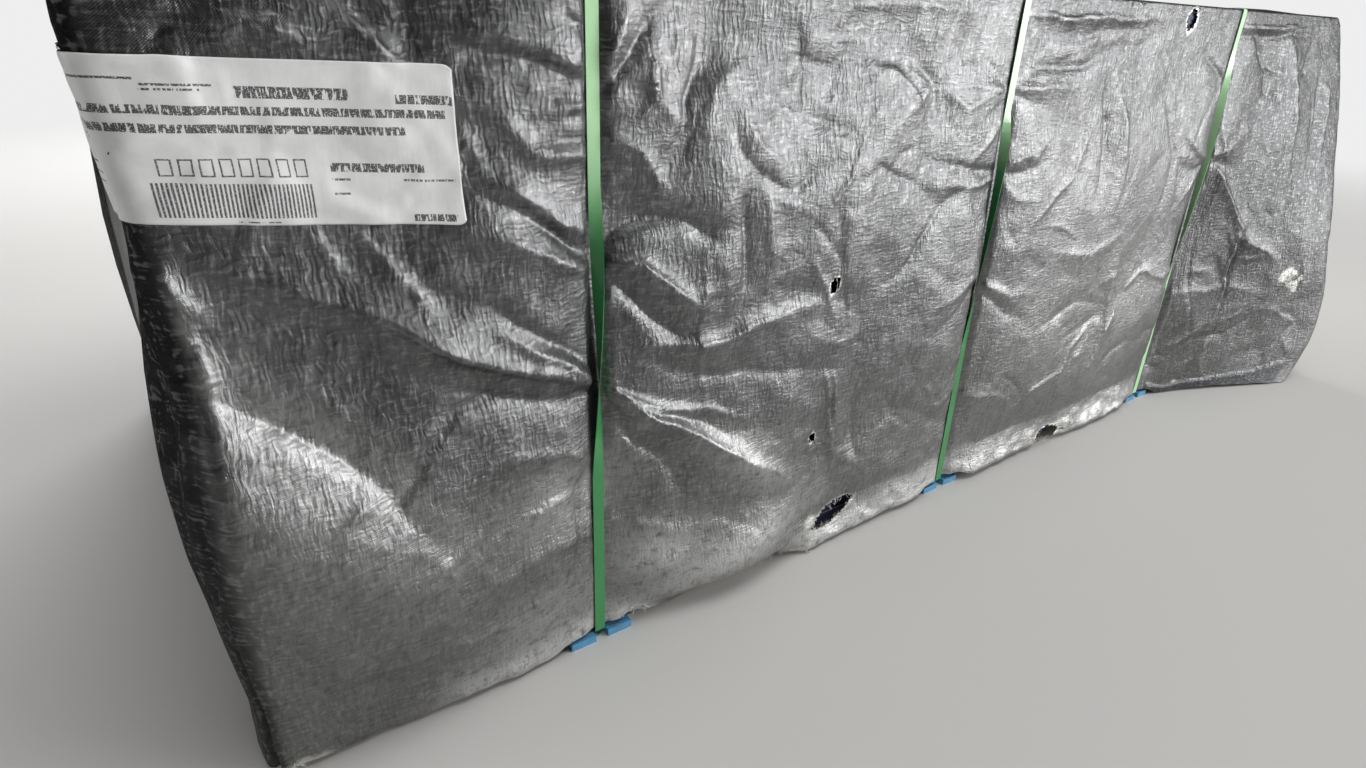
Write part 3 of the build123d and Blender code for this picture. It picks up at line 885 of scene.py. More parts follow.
# The hem lifts over the runner strips and is uneven elsewhere.
runner_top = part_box("runner_1_left")[1][2]
hem = np.maximum(0, value_noise(ring_run, ring_run * 0, 0.12, 1.0, 41, ring_length)) * 0.006
hem += np.maximum(0, value_noise(ring_run, ring_run * 0, 0.03, 1.0, 42, ring_length)) * 0.003
for place in straps_at:
    for at in (place, 2 * front_end - place):
        away = np.abs((ring_run - at + ring_length / 2) % ring_length - ring_length / 2)
        hem += (runner_top + 0.002) * np.clip(1 - (away - 0.05) / 0.035, 0, 1)
hem_marks = ((-0.03, 0.008), (0.10, 0.003), (0.30, 0.003), (0.47, 0.000), (0.58, 0.005), (0.66, 0.004), (0.76, 0.002), (0.90, 0.006), (1.85, 0.005), (2.0, 0.0))
hem = soften(hem + np.interp(mirror_run, *zip(*hem_marks)), 1.5, 0, wrap=True)
pz = pz + hem[:, None] * np.clip(1 - ring_z / 0.12, 0, 1) ** 1.5


# Top: each column of the ring carries on over the edge to the middle line, pulled flat by the straps,
# with long low wrinkles between them.
top_rows = 64
top_share = (np.arange(1, top_rows + 1) / top_rows)[None, :]
spine_end = stack_long / 2 - 0.5
spine_x = np.clip(px[:, -1], -spine_end, spine_end)
top_x = px[:, -1:] * (1 - top_share) + spine_x[:, None] * top_share
top_y = py[:, -1:] * (1 - top_share)
inside_x = np.minimum(stack_high[0] - np.abs(top_x), 0.06) / 0.06
inside_y = np.minimum(stack_high[1] - np.abs(top_y), 0.05) / 0.05
inside = np.clip(np.minimum(inside_x, inside_y), 0, 1)
wrinkle = 1 - np.abs(value_noise(top_x, top_y, 0.28, 0.10, 51)) * 2
wrinkle = 0.55 * wrinkle + 0.45 * (1 - np.abs(value_noise(top_x, top_y, 0.09, 0.16, 52)) * 2)
small = 1 - np.abs(value_noise(top_x, top_y, 0.035, 0.045, 53)) * 2
top_lift = np.maximum(0, wrinkle) ** 1.5 * 0.010 + np.maximum(0, small) * 0.0012
strap_flat = np.ones_like(top_lift)
for place in strap_places:
    strap_flat = np.minimum(strap_flat, np.clip((np.abs(top_x - place) - 0.022) / 0.05, 0, 1))
strap_flat = strap_flat * strap_flat * (3 - 2 * strap_flat)
top_z = crown + top_lift * inside * strap_flat - 0.0009 * inside * (1 - strap_flat)

all_x = np.concatenate([px, top_x], 1)
all_y = np.concatenate([py, top_y], 1)
all_z = np.concatenate([pz, top_z], 1)
level_count = all_x.shape[1]
vertices = np.stack([all_x, all_y, all_z], -1).reshape(-1, 3)
index = np.arange(column_count * level_count).reshape(column_count, level_count)
after = np.roll(index, -1, 0)
faces = np.stack([index[:, :-1], after[:, :-1], after[:, 1:], index[:, 1:]], -1)

# Tears: the torn weave is left out inside a lens, and its edges are frayed white.
tears = [
    # distance, height, length, opening, slope
    (0.842, 0.056, 0.110, 0.036, 16.0),
    (0.776, 0.474, 0.030, 0.018, 70.0),
    (0.765, 0.226, 0.020, 0.013, 80.0),
    (1.500, 0.016, 0.092, 0.044, 8.0),
    (1.700, 0.851, 0.044, 0.036, 76.0),
]


def tear_gap(across, up_at, tear):
    """Distance from a tear's edge, below zero inside it, and the place across it."""
    at, up, long, wide, slope = tear
    c = math.cos(math.radians(slope))
    s = math.sin(math.radians(slope))
    a = (across - at) * c + (up_at - up) * s
    b = (up_at - up) * c - (across - at) * s
    half = wide / 2 * (1 - np.minimum(1, np.abs(2 * a / long)) ** 2)
    return np.where(np.abs(a) < long / 2, np.abs(b) - half, np.hypot(np.abs(a) - long / 2, b)), b


centre_run = (run_grid[:, :-1] + np.roll(run_grid, -1, 0)[:, :-1]) / 2
centre_up = (ring_z[:, :-1] + ring_z[:, 1:]) / 2
torn = np.zeros((column_count, level_count - 1), bool)
frayed = np.zeros_like(ring_z)
for tear in tears:
    gap, side = tear_gap(centre_run, centre_up, tear)
    torn[:, : row_count - 1] |= gap < 0
    gap, side = tear_gap(run_grid, ring_z, tear)
    edge = 0.0045 + 0.006 * (side < 0) * (tear[3] > 0.02)
    frayed = np.maximum(frayed, np.exp(-((np.maximum(gap, 0) / edge) ** 2)))
kept = faces[~torn].reshape(-1, 4)

# Rubbed places: the scuff near the far end, the whitened hem by the first strap and at the near corner.
rubs = [
    # distance, height, half width, half height, strength
    (2.345, 0.274, 0.048, 0.036, 1.15),
    (0.440, 0.020, 0.045, 0.010, 0.9),
    (-0.010, 0.004, 0.030, 0.010, 1.3),
    (1.560, 0.022, 0.040, 0.020, 1.15),
    (0.720, 0.010, 0.090, 0.006, 0.8),
    (0.785, 0.048, 0.018, 0.028, 1.1),
    (2.060, 0.028, 0.018, 0.006, 0.7),
]
for at, up, wide, tall, strength in rubs:
    spot = np.exp(-(((run_grid - at) / wide) ** 2) - ((ring_z - up) / tall) ** 2)
    spot *= np.clip(0.75 + 1.8 * value_noise(run_grid, ring_z, 0.020, 0.016, 77, ring_length), 0, 1.3)
    frayed = np.maximum(frayed, np.minimum(1, strength * spot))

# Painted shade: the coating is painted darker, with a darker reflection, and made duller on the ends and where the side
# hangs free. It is near black in the groove of the tuck, and darker in the dark places listed below.
painted_shade_marks = ((-0.70, 0.45), (-0.40, 0.55), (-0.24, 0.92), (-0.044, 0.90), (-0.028, 0.0), (1.10, 0.0), (1.50, 0.22), (1.88, 0.24), (2.02, 0.48), (3.20, 0.48))
painted_shade = np.interp(mirror_run, *zip(*painted_shade_marks))[:, None] * np.ones_like(ring_z)
# Between the second and the third strap the painted shade fades out towards the floor and is strongest high up the
# side.
middle_part = ((mirror_run > 1.0) & (mirror_run < 1.95))[:, None]
painted_shade = np.where(middle_part, painted_shade * np.clip(1.4 * ring_z / crown - 0.25, 0, 2), painted_shade)
# Painted shade: the groove of the tuck at the near corner is painted near black, as the shade inside the fold.
painted_shade = np.maximum(painted_shade, 0.97 * np.clip((-tuck - 0.004) / 0.004, 0, 1))

edge_worn = folds - soften(soften(folds, 2.5, 0, wrap=True), 2.5, 1)
wear = np.clip(edge_worn / 0.0012, 0, 1)
rub_marks = ((0.10, 0.0), (0.18, 0.7), (0.38, 1.0), (0.46, 1.0), (0.52, 0.2), (0.68, 0.4), (0.80, 1.0), (1.15, 1.0), (1.25, 0.35), (1.90, 0.35), (1.95, 0.0))
rubbed_and_sheen = np.clip(2.4 * kick_full * hem_zone, 0, 1) * np.interp(mirror_run, *zip(*rub_marks))[:, None]
# Pale and dark places of the coating, as the photo shows them: the pale places are painted highlights on the sheen,
# with the whitened hem among them, and the dark places are painted shade.
pale_wear_and_sheen_places = [
    # distance, height, half length, half width, slope, strength
    (0.045, 0.400, 0.19, 0.070, -51.0, 0.40),
    (0.170, 0.265, 0.06, 0.045, -51.0, 0.28),
    (-0.030, 0.540, 0.09, 0.012, -75.0, 0.42),
    (0.330, 0.260, 0.08, 0.055, 12.0, 0.50),
    (0.300, 0.085, 0.10, 0.055, 6.0, 0.45),
    (0.270, 0.022, 0.11, 0.020, 5.0, 1.0),
    (0.440, 0.010, 0.050, 0.012, 0.0, 1.0),
    (0.480, 0.125, 0.08, 0.045, 0.0, 0.75),
    (0.610, 0.085, 0.15, 0.045, 10.0, 1.0),
    (0.640, 0.225, 0.10, 0.035, -40.0, 0.50),
    (1.020, 0.040, 0.13, 0.030, 0.0, 0.80),
    (1.200, 0.045, 0.05, 0.030, 0.0, 0.50),
    (1.550, 0.380, 0.36, 0.200, 0.0, 0.22),
]
# The dark places are painted shade.
painted_shade_places = [
    (0.100, 0.850, 0.28, 0.090, 0.0, 0.65),
    (0.150, 0.425, 0.19, 0.045, -45.0, 0.38),
    (0.030, 0.600, 0.10, 0.030, -35.0, 0.35),
]


def place_mask(at, up, long, wide, slope, strength):
    """How strongly a soft oval place on the sheet shows at each point."""
    c = math.cos(math.radians(slope))
    s = math.sin(math.radians(slope))
    along = ((run_grid - at) * c + (ring_z - up) * s) / long
    off = ((ring_z - up) * c - (run_grid - at) * s) / wide
    return strength * np.exp(-(along**2) - off**2)


# Painted sheen in the pale places, with rubbed whitening on the hem, and painted shade in the dark places.
for place in pale_wear_and_sheen_places:
    rubbed_and_sheen = np.maximum(rubbed_and_sheen, place_mask(*place))
for place in painted_shade_places:
    painted_shade = np.maximum(painted_shade, place_mask(*place))
no_top = np.zeros((column_count, top_rows))
wear = np.concatenate([wear, no_top], 1).reshape(-1)
frayed = np.concatenate([frayed, no_top], 1).reshape(-1)
under_side = np.concatenate([turned, no_top], 1).reshape(-1)
painted_shade = np.concatenate([painted_shade, no_top], 1).reshape(-1)
rubbed_and_sheen = np.concatenate([rubbed_and_sheen, no_top], 1).reshape(-1)


def sheet_mesh(name, points, quads, flat, attributes):
    """A mesh with its flat-sheet coordinates as a UV map, and the given values per point as attributes: worn creases,
    frays, the turned hem, painted shade, and pale wear with painted sheen.
    """
    mesh = bpy.data.meshes.new(name)
    mesh.vertices.add(len(points))
    mesh.vertices.foreach_set("co", points.astype(np.float32).ravel())
    mesh.loops.add(quads.size)
    mesh.loops.foreach_set("vertex_index", quads.astype(np.int32).ravel())
    mesh.polygons.add(len(quads))
    mesh.polygons.foreach_set("loop_start", np.arange(0, quads.size, 4, dtype=np.int32))
    mesh.polygons.foreach_set("use_smooth", np.ones(len(quads), bool))
    mesh.update(calc_edges=True)
    layer = mesh.uv_layers.new(name="flat_sheet")
    layer.data.foreach_set("uv", flat.astype(np.float32).ravel())
    for key, values in attributes.items():
        attribute = mesh.attributes.new(key, "FLOAT", "POINT")
        attribute.data.foreach_set("value", values.astype(np.float32))
    mesh.validate()
    return mesh


run_all = np.tile(ring_run[:, None], (1, level_count))
up_all = np.concatenate([ring_z, crown + top_share * half_wide * np.ones((column_count, 1))], 1)
flat_points = np.stack([run_all, up_all], -1).reshape(-1, 2)
flat_corners = flat_points[kept]
wraps = (kept // level_count).max(1) - (kept // level_count).min(1) > 1
low_run = flat_corners[:, :, 0] < ring_length / 2
flat_corners[:, :, 0] += np.where(wraps[:, None] & low_run, ring_length, 0)
on_top = (kept % level_count).max(1) >= row_count
flat_corners[on_top, :, 0] = vertices[kept[on_top]][:, :, 0] - stack_low[0]
flat_corners[on_top, :, 1] = vertices[kept[on_top]][:, :, 1] - stack_low[1] + crown

cover_mesh = sheet_mesh("cover_sheet", vertices, kept, flat_corners, {"wear": wear, "frayed": frayed, "turned": under_side, "painted_shade": painted_shade, "rubbed_and_sheen": rubbed_and_sheen})
cover = bpy.data.objects.new("cover_sheet", cover_mesh)
scene.collection.objects.link(cover)

seen = np.zeros((column_count, level_count))
front_band = (ring_run > -0.12) & (ring_run < stack_long + 0.3)
seen[front_band, :row_count] = 1
weights = 1 - 0.75 * seen.reshape(-1)
group = cover.vertex_groups.new(name="thin_out")
for level in (0.25, 1.0):
    chosen = np.nonzero(np.abs(weights - level) < 0.01)[0]
    group.add(chosen.tolist(), level, "REPLACE")

workshop = bmesh.new()
workshop.from_mesh(cover_mesh)
workshop.verts.ensure_lookup_table()
bmesh.ops.remove_doubles(workshop, verts=[v for v in workshop.verts if abs(v.co.y) < 1e-6 and v.co.z > 0.8], dist=1e-6)
loose = [v for v in workshop.verts if not v.link_faces]
bmesh.ops.delete(workshop, geom=loose, context="VERTS")
bmesh.ops.triangulate(workshop, faces=workshop.faces[:])
workshop.to_mesh(cover_mesh)
workshop.free()
print("cover triangles before thinning", len(cover_mesh.polygons))

thin = cover.modifiers.new("thin_out", "DECIMATE")
thin.ratio = 190000 / len(cover_mesh.polygons)
thin.vertex_group = "thin_out"
thin.vertex_group_factor = 6.0
thinned = bpy.data.meshes.new_from_object(cover.evaluated_get(bpy.context.evaluated_depsgraph_get()))
cover.modifiers.remove(thin)
cover.data = thinned
cover.vertex_groups.clear()
print("cover triangles", len(thinned.polygons))
_c = np.zeros(len(thinned.polygons)*3); thinned.polygons.foreach_get("center", _c); _c=_c.reshape(-1,3)
print("front triangles", int(((_c[:,1]<-0.6)&(_c[:,2]<0.87)).sum()), "top", int((_c[:,2]>0.8755).sum()))


rib_apart = 0.0046
rib_long = 0.022
tuck_apart = 0.004


def cover_material():
    """Coated tape weave: dark grey, ribbed across the sheet, silvery at a slant, paler on worn creases, with painted
    shade and painted sheen in places.
    """
    material = bpy.data.materials.new("cover_film")
    material.use_nodes = True
    tree = material.node_tree
    surface = tree.nodes["Principled BSDF"]
    flat = tree.nodes.new("ShaderNodeUVMap")
    flat.uv_map = "flat_sheet"
    flat = flat.outputs["UV"]
    worn = tree.nodes.new("ShaderNodeAttribute")
    worn.attribute_name = "wear"
    worn = worn.outputs["Fac"]
    tone = noise(tree, flat, 3.0, 4.0, 0.6)
    fine = noise(tree, flat, 55.0, 3.0, 0.6)
    color = blend_colors(tree, ramp(tree, tone, 0.3, 0.7), (0.115, 0.117, 0.120), (0.195, 0.197, 0.200))
    streaks = noise(tree, scaled(tree, flat, (26, 9, 1), 0.2), 1.0, 5.0, 0.65)
    color = blend_colors(tree, ramp(tree, streaks, 0.36, 0.66), color, (0.62, 0.62, 0.62), "MULTIPLY")
    color = blend_colors(tree, math_node(tree, "MULTIPLY", fine, 0.35), color, (0.28, 0.28, 0.28))
    level = tree.nodes.new("ShaderNodeSeparateXYZ")
    tree.links.new(tree.nodes.new("ShaderNodeTexCoord").outputs["Object"], level.inputs[0])
    # Pale hem wear and painted sheen: the coating is paler and less metallic where the hem is rubbed and where a
    # highlight is painted.
    rubbed_and_sheen = tree.nodes.new("ShaderNodeAttribute")
    rubbed_and_sheen.attribute_name = "rubbed_and_sheen"
    rubbing_and_sheen = math_node(tree, "MULTIPLY", rubbed_and_sheen.outputs["Fac"], ramp(tree, fine, 0.20, 0.54))
    color = blend_colors(tree, rubbing_and_sheen, color, (0.62, 0.62, 0.61))
    # Painted shade: darkens the coating's colour towards near black, and dims its reflection through the specular tint.
    painted_shade_node = tree.nodes.new("ShaderNodeAttribute")
    painted_shade_node.attribute_name = "painted_shade"
    color = blend_colors(tree, painted_shade_node.outputs["Fac"], color, (0.006, 0.006, 0.007))
    rim = blend_colors(tree, painted_shade_node.outputs["Fac"], (1.0, 1.0, 1.0), (0.1, 0.1, 0.1))
    tree.links.new(rim, surface.inputs["Specular Tint"])
    # Paler towards the bottom of the sheet: dust, and a painted reflection of the pale floor.
    low = ramp(tree, math_node(tree, "ADD", level.outputs[2], math_node(tree, "MULTIPLY", tone, 0.12)), 0.62, 0.06)
    color = blend_colors(tree, math_node(tree, "MULTIPLY", low, 0.22), color, (0.42, 0.42, 0.41))
    scuff = math_node(tree, "MULTIPLY", worn, ramp(tree, fine, 0.42, 0.62))
    color = blend_colors(tree, math_node(tree, "MULTIPLY", scuff, 0.15), color, (0.45, 0.45, 0.46))
    turned = tree.nodes.new("ShaderNodeAttribute")
    turned.attribute_name = "turned"
    color = blend_colors(tree, math_node(tree, "MULTIPLY", turned.outputs["Fac"], 0.7), color, (0.055, 0.06, 0.066))
    frayed = tree.nodes.new("ShaderNodeAttribute")
    frayed.attribute_name = "frayed"
    fibres = noise(tree, scaled(tree, flat, (260, 900, 1), 0.5), 1.0, 3.0, 0.6)
    fibres = math_node(tree, "ADD", fibres, math_node(tree, "MULTIPLY", frayed.outputs["Fac"], 0.5))
    fibres = math_node(tree, "MULTIPLY", ramp(tree, fibres, 0.72, 0.86), frayed.outputs["Fac"])
    color = blend_colors(tree, fibres, color, (0.74, 0.74, 0.70))
    specks = ramp(tree, noise(tree, flat, 260.0, 2.0, 0.6), 0.76, 0.80)
    color = blend_colors(tree, math_node(tree, "MULTIPLY", specks, 0.6), color, (0.42, 0.41, 0.38))
    # ribs of the weave: short wavy ridges up the sheet, about 5 mm apart
    bent = tree.nodes.new("ShaderNodeVectorMath")
    bent.operation = "ADD"
    tree.links.new(flat, bent.inputs[0])
    wander = tree.nodes.new("ShaderNodeTexNoise")
    wander.inputs["Scale"].default_value = 38.0
    wander.inputs["Detail"].default_value = 2.0
    tree.links.new(flat, wander.inputs["Vector"])
    tree.links.new(scaled(tree, wander.outputs["Color"], (0.012, 0.012, 0.0)), bent.inputs[1])
    bent = bent.outputs[0]
    ribs = noise(tree, scaled(tree, bent, (1 / rib_apart, 1 / rib_long, 1)), 1.0, 1.0)
    tucks = noise(tree, scaled(tree, bent, (1 / rib_long, 1 / tuck_apart, 1)), 1.0, 1.0)
    fine_crease = noise(tree, bent, 150.0, 3.0, 0.6)
    crest = math_node(tree, "ADD", math_node(tree, "ADD", ribs, tucks), fine_crease)
    # Rib crests are painted paler, as coating rubbed off them, and rib troughs are painted darker, as painted shade in
    # the hollows of the weave.
    color = blend_colors(tree, math_node(tree, "MULTIPLY", ramp(tree, crest, 1.50, 1.85), 0.30), color, (0.46, 0.46, 0.46))
    color = blend_colors(tree, math_node(tree, "MULTIPLY", ramp(tree, crest, 1.45, 1.10), 0.36), color, (0.05, 0.05, 0.052))
    tree.links.new(color, surface.inputs["Base Color"])
    rough = math_node(tree, "MULTIPLY_ADD", noise(tree, flat, 18.0, 4.0, 0.65), 0.22)
    rough.node.inputs[2].default_value = 0.26
    rough = math_node(tree, "ADD", rough, math_node(tree, "MULTIPLY", ramp(tree, painted_shade_node.outputs["Fac"], 0.5, 0.9), 0.40))
    tree.links.new(rough, surface.inputs["Roughness"])
    metal = math_node(tree, "MULTIPLY_ADD", rubbing_and_sheen, -0.45)
    metal.node.inputs[2].default_value = 0.88
    tree.links.new(metal, surface.inputs["Metallic"])
    across = tree.nodes.new("ShaderNodeSeparateXYZ")
    tree.links.new(flat, across.inputs[0])
    weave = math_node(tree, "MULTIPLY", across.outputs[0], 2 * math.pi / 0.0022)
    weave_up = math_node(tree, "MULTIPLY", across.outputs[1], 2 * math.pi / 0.0022)
    weave = math_node(tree, "MULTIPLY", math_node(tree, "SINE", weave), math_node(tree, "SINE", weave_up))
    crease = tree.nodes.new("ShaderNodeTexNoise")
    crease.noise_type = "RIDGED_MULTIFRACTAL"
    tree.links.new(bent, crease.inputs["Vector"])
    crease.inputs["Scale"].default_value = 22.0
    crease.inputs["Detail"].default_value = 5.0
    crease.inputs["Roughness"].default_value = 0.6
    relief = bump(tree, crease.outputs["Fac"], 0.0010, 0.6)
    relief = bump(tree, fine_crease, 0.0010, 0.7, relief)
    relief = bump(tree, ribs, 0.0010, 0.9, relief)
    relief = bump(tree, tucks, 0.0007, 0.9, relief)
    relief = bump(tree, weave, 0.00012, 0.5, relief)
    tree.links.new(relief, surface.inputs["Normal"])
    return material


cover_finish = cover_material()
cover.data.materials.clear()
cover.data.materials.append(cover_finish)
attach(cover, "root")
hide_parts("cover")

# Torn tapes: where the weave is torn its white tapes stand out loose, at the tears, the scuff and the hem.
tape_length = 0.012
tape_width = 0.0013
tape_thickness = 0.0002


def tape_tree():
    """Loose tapes on every point of a mesh, each turned to the point's own direction."""
    tree = bpy.data.node_groups.new("loose_tapes", "GeometryNodeTree")
    tree.is_modifier = True
    for name, kind in (("Geometry", "NodeSocketGeometry"), ("Tape length", "NodeSocketFloat"),
                       ("Tape width", "NodeSocketFloat"), ("Tape thickness", "NodeSocketFloat"),
                       ("Seed", "NodeSocketInt"), ("Finish", "NodeSocketMaterial")):
        tree.interface.new_socket(name, in_out="INPUT", socket_type=kind)
    tree.interface.new_socket("Geometry", in_out="OUTPUT", socket_type="NodeSocketGeometry")
    entry = tree.nodes.new("NodeGroupInput")
    leave = tree.nodes.new("NodeGroupOutput")
    bow = tree.nodes.new("GeometryNodeCurveQuadraticBezier")
    bow.inputs["Resolution"].default_value = 5
    bow.inputs["Start"].default_value = (0, 0, -0.1)
    bow.inputs["Middle"].default_value = (0.35, 0.1, 0.6)
    bow.inputs["End"].default_value = (0.1, 0.4, 1.0)
    section = tree.nodes.new("GeometryNodeCurvePrimitiveQuadrilateral")
    for socket, name in (("Width", "Tape width"), ("Height", "Tape thickness")):
        share = tree.nodes.new("ShaderNodeMath")
        share.operation = "DIVIDE"
        tree.links.new(entry.outputs[name], share.inputs[0])
        tree.links.new(entry.outputs["Tape length"], share.inputs[1])
        tree.links.new(share.outputs[0], section.inputs[socket])
    tape = tree.nodes.new("GeometryNodeCurveToMesh")
    tape.inputs["Fill Caps"].default_value = True
    tree.links.new(bow.outputs[0], tape.inputs["Curve"])
    tree.links.new(section.outputs[0], tape.inputs["Profile Curve"])
    stand = tree.nodes.new("GeometryNodeInputNamedAttribute")
    stand.data_type = "FLOAT_VECTOR"
    stand.inputs["Name"].default_value = "stand"
    turn = tree.nodes.new("FunctionNodeAlignRotationToVector")
    turn.axis = "Z"
    tree.links.new(stand.outputs["Attribute"], turn.inputs["Vector"])
    roll = tree.nodes.new("FunctionNodeRandomValue")
    roll.data_type = "FLOAT_VECTOR"
    roll.inputs["Min"].default_value = (-0.5, -0.5, -3.1)
    roll.inputs["Max"].default_value = (0.5, 0.5, 3.1)
    tree.links.new(entry.outputs["Seed"], roll.inputs["Seed"])
    rolled = tree.nodes.new("FunctionNodeRotateRotation")
    rolled.rotation_space = "LOCAL"
    tree.links.new(turn.outputs[0], rolled.inputs[0])
    tree.links.new(roll.outputs["Value"], rolled.inputs[1])
    grow = tree.nodes.new("FunctionNodeRandomValue")
    grow.data_type = "FLOAT"
    grow.inputs["Min"].default_value = 0.3
    grow.inputs["Max"].default_value = 1.0
    tree.links.new(entry.outputs["Seed"], grow.inputs["Seed"])
    size = tree.nodes.new("ShaderNodeMath")
    size.operation = "MULTIPLY"
    for value in grow.outputs:
        if value.enabled:
            tree.links.new(value, size.inputs[0])
    tree.links.new(entry.outputs["Tape length"], size.inputs[1])
    place = tree.nodes.new("GeometryNodeInstanceOnPoints")
    tree.links.new(entry.outputs["Geometry"], place.inputs["Points"])
    tree.links.new(tape.outputs[0], place.inputs["Instance"])
    tree.links.new(rolled.outputs[0], place.inputs["Rotation"])
    tree.links.new(size.outputs[0], place.inputs["Scale"])
    real = tree.nodes.new("GeometryNodeRealizeInstances")
    tree.links.new(place.outputs[0], real.inputs[0])
    finish = tree.nodes.new("GeometryNodeSetMaterial")
    tree.links.new(real.outputs[0], finish.inputs["Geometry"])
    tree.links.new(entry.outputs["Finish"], finish.inputs["Material"])
    tree.links.new(finish.outputs[0], leave.inputs[0])
    return tree


def tape_material():
    """White polypropylene tape, dusty at its ends."""
    material = bpy.data.materials.new("torn_tape")
    material.use_nodes = True
    tree = material.node_tree
    surface = tree.nodes["Principled BSDF"]
    where = tree.nodes.new("ShaderNodeTexCoord").outputs["Object"]
    dust = noise(tree, where, 160.0, 3.0, 0.6)
    color = blend_colors(tree, ramp(tree, dust, 0.35, 0.7), (0.74, 0.74, 0.71), (0.42, 0.40, 0.36))
    tree.links.new(color, surface.inputs["Base Color"])
    surface.inputs["Roughness"].default_value = 0.5
    tree.links.new(bump(tree, noise(tree, where, 1800.0, 1.0), 0.0002, 0.6), surface.inputs["Normal"])
    return material


def on_sheet(at_run, at_height):
    """Points of the finished sheet at the given distances and heights."""
    a = np.interp(at_run, ring_run, np.arange(column_count))
    b = np.interp(at_height, heights, np.arange(row_count))
    a0 = np.floor(a).astype(int)
    b0 = np.minimum(np.floor(b).astype(int), row_count - 2)
    fa = (a - a0)[..., None]
    fb = (b - b0)[..., None]
    grid = np.stack([px, py, pz], -1)
    low = grid[a0, b0] * (1 - fa) + grid[a0 + 1, b0] * fa
    high = grid[a0, b0 + 1] * (1 - fa) + grid[a0 + 1, b0 + 1] * fa
    return low * (1 - fb) + high * fb


tape_random = np.random.default_rng(71)
tape_roots = []
tape_stands = []
for tear, count in zip(tears, (90, 9, 6, 50, 12)):
    at, up, long, wide, slope = tear
    c = math.cos(math.radians(slope))
    s = math.sin(math.radians(slope))
    along = tape_random.uniform(-0.98, 0.98, count)
    side = np.where(tape_random.uniform(0, 1, count) < 0.7, -1.0, 1.0)
    a = along * long / 2
    b = side * wide / 2 * (1 - along**2)
    roots = on_sheet(at + a * c - b * s, np.maximum(up + a * s + b * c, 0.002))
    for root, lip, jitter in zip(roots, side, tape_random.uniform(-0.7, 0.7, (count, 3))):
        tape_roots.append(root)
        tape_stands.append((jitter[0], -0.5 + 0.4 * jitter[1], -0.7 * lip + 0.4 * jitter[2]))
patches = [
    # distance, height, half width, half height, tapes
    (2.345, 0.275, 0.040, 0.030, 70),
    (-0.030, 0.006, 0.016, 0.004, 24),
    (0.700, 0.007, 0.100, 0.004, 60),
    (1.575, 0.016, 0.030, 0.010, 40),
    (0.440, 0.016, 0.040, 0.008, 24),
    (0.775, 0.060, 0.014, 0.022, 24),
]
for at, up, wide, tall, count in patches:
    spread = tape_random.uniform(-1, 1, (count, 2)) * tape_random.uniform(0.2, 1, (count, 1))
    roots = on_sheet(at + spread[:, 0] * wide, np.maximum(up + spread[:, 1] * tall, 0.002))
    for root, jitter in zip(roots, tape_random.uniform(-1, 1, (count, 3))):
        tape_roots.append(root)
        tape_stands.append((1.2 * jitter[0], -0.35 + 0.2 * jitter[1], 0.8 * jitter[2]))
root_mesh = bpy.data.meshes.new("torn_tapes")
root_mesh.from_pydata([tuple(root) for root in tape_roots], [], [])
stands = root_mesh.attributes.new("stand", "FLOAT_VECTOR", "POINT")
stands.data.foreach_set("vector", np.array(tape_stands, dtype=np.float32).ravel())
tapes = bpy.data.objects.new("torn_tapes", root_mesh)
scene.collection.objects.link(tapes)
grown = tapes.modifiers.new("loose_tapes", "NODES")
grown.node_group = tape_tree()
tape_values = {"Tape length": tape_length, "Tape width": tape_width, "Tape thickness": tape_thickness,
               "Seed": 5, "Finish": tape_material()}
for item in grown.node_group.interface.items_tree:
    if item.in_out == "INPUT" and item.name in tape_values:
        grown[item.identifier] = tape_values[item.name]
grown_mesh = bpy.data.meshes.new_from_object(tapes.evaluated_get(bpy.context.evaluated_depsgraph_get()))
tapes.modifiers.remove(grown)
tapes.data = grown_mesh
for vertex in grown_mesh.vertices:
    vertex.co.z = max(vertex.co.z, 0.0004)
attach(tapes, "root")
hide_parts("cover")

# Straps: green polyester strapping, 16 mm wide, pulled tight and friction-welded on top.


def strap_material():
    """Green polyester with a fine embossed grid and a satin gloss, painted pale mint high up and along the third strap
    as painted highlights.
    """
    material = bpy.data.materials.new("strap_plastic")
    material.use_nodes = True
    tree = material.node_tree
    surface = tree.nodes["Principled BSDF"]
    where = tree.nodes.new("ShaderNodeTexCoord").outputs["Object"]
    tone = noise(tree, where, 9.0, 3.0)
    color = blend_colors(tree, tone, (0.035, 0.24, 0.065), (0.06, 0.34, 0.11))
    place = tree.nodes.new("ShaderNodeSeparateXYZ")
    tree.links.new(where, place.inputs[0])
    # Painted highlight: the straps are painted pale mint towards the top, where they catch a sheen, and the third strap
    # is painted pale along its length to lift its shaded twist.
    painted_sheen_high = ramp(tree, place.outputs[2], 0.56, 0.74)
    painted_light_far = math_node(tree, "MULTIPLY", ramp(tree, place.outputs[0], 0.5, 0.6), 0.95)
    painted_sheen_high = math_node(tree, "MAXIMUM", painted_sheen_high, painted_light_far)
    color = blend_colors(tree, math_node(tree, "MULTIPLY", painted_sheen_high, 0.95), color, (0.60, 1.0, 0.56))
    tree.links.new(color, surface.inputs["Base Color"])
    rough = math_node(tree, "MULTIPLY_ADD", noise(tree, where, 120.0, 3.0), 0.2)
    rough.node.inputs[2].default_value = 0.22
    tree.links.new(rough, surface.inputs["Roughness"])
    surface.inputs["Coat Weight"].default_value = 0.3
    relief = bump(tree, noise(tree, where, 450.0, 1.0), 0.0003, 0.5)
    tree.links.new(relief, surface.inputs["Normal"])
    return material


strap_finish = strap_material()
for number in (1, 2, 3):
    refinish(f"strap_{number}", strap_finish, "strap_plastic")


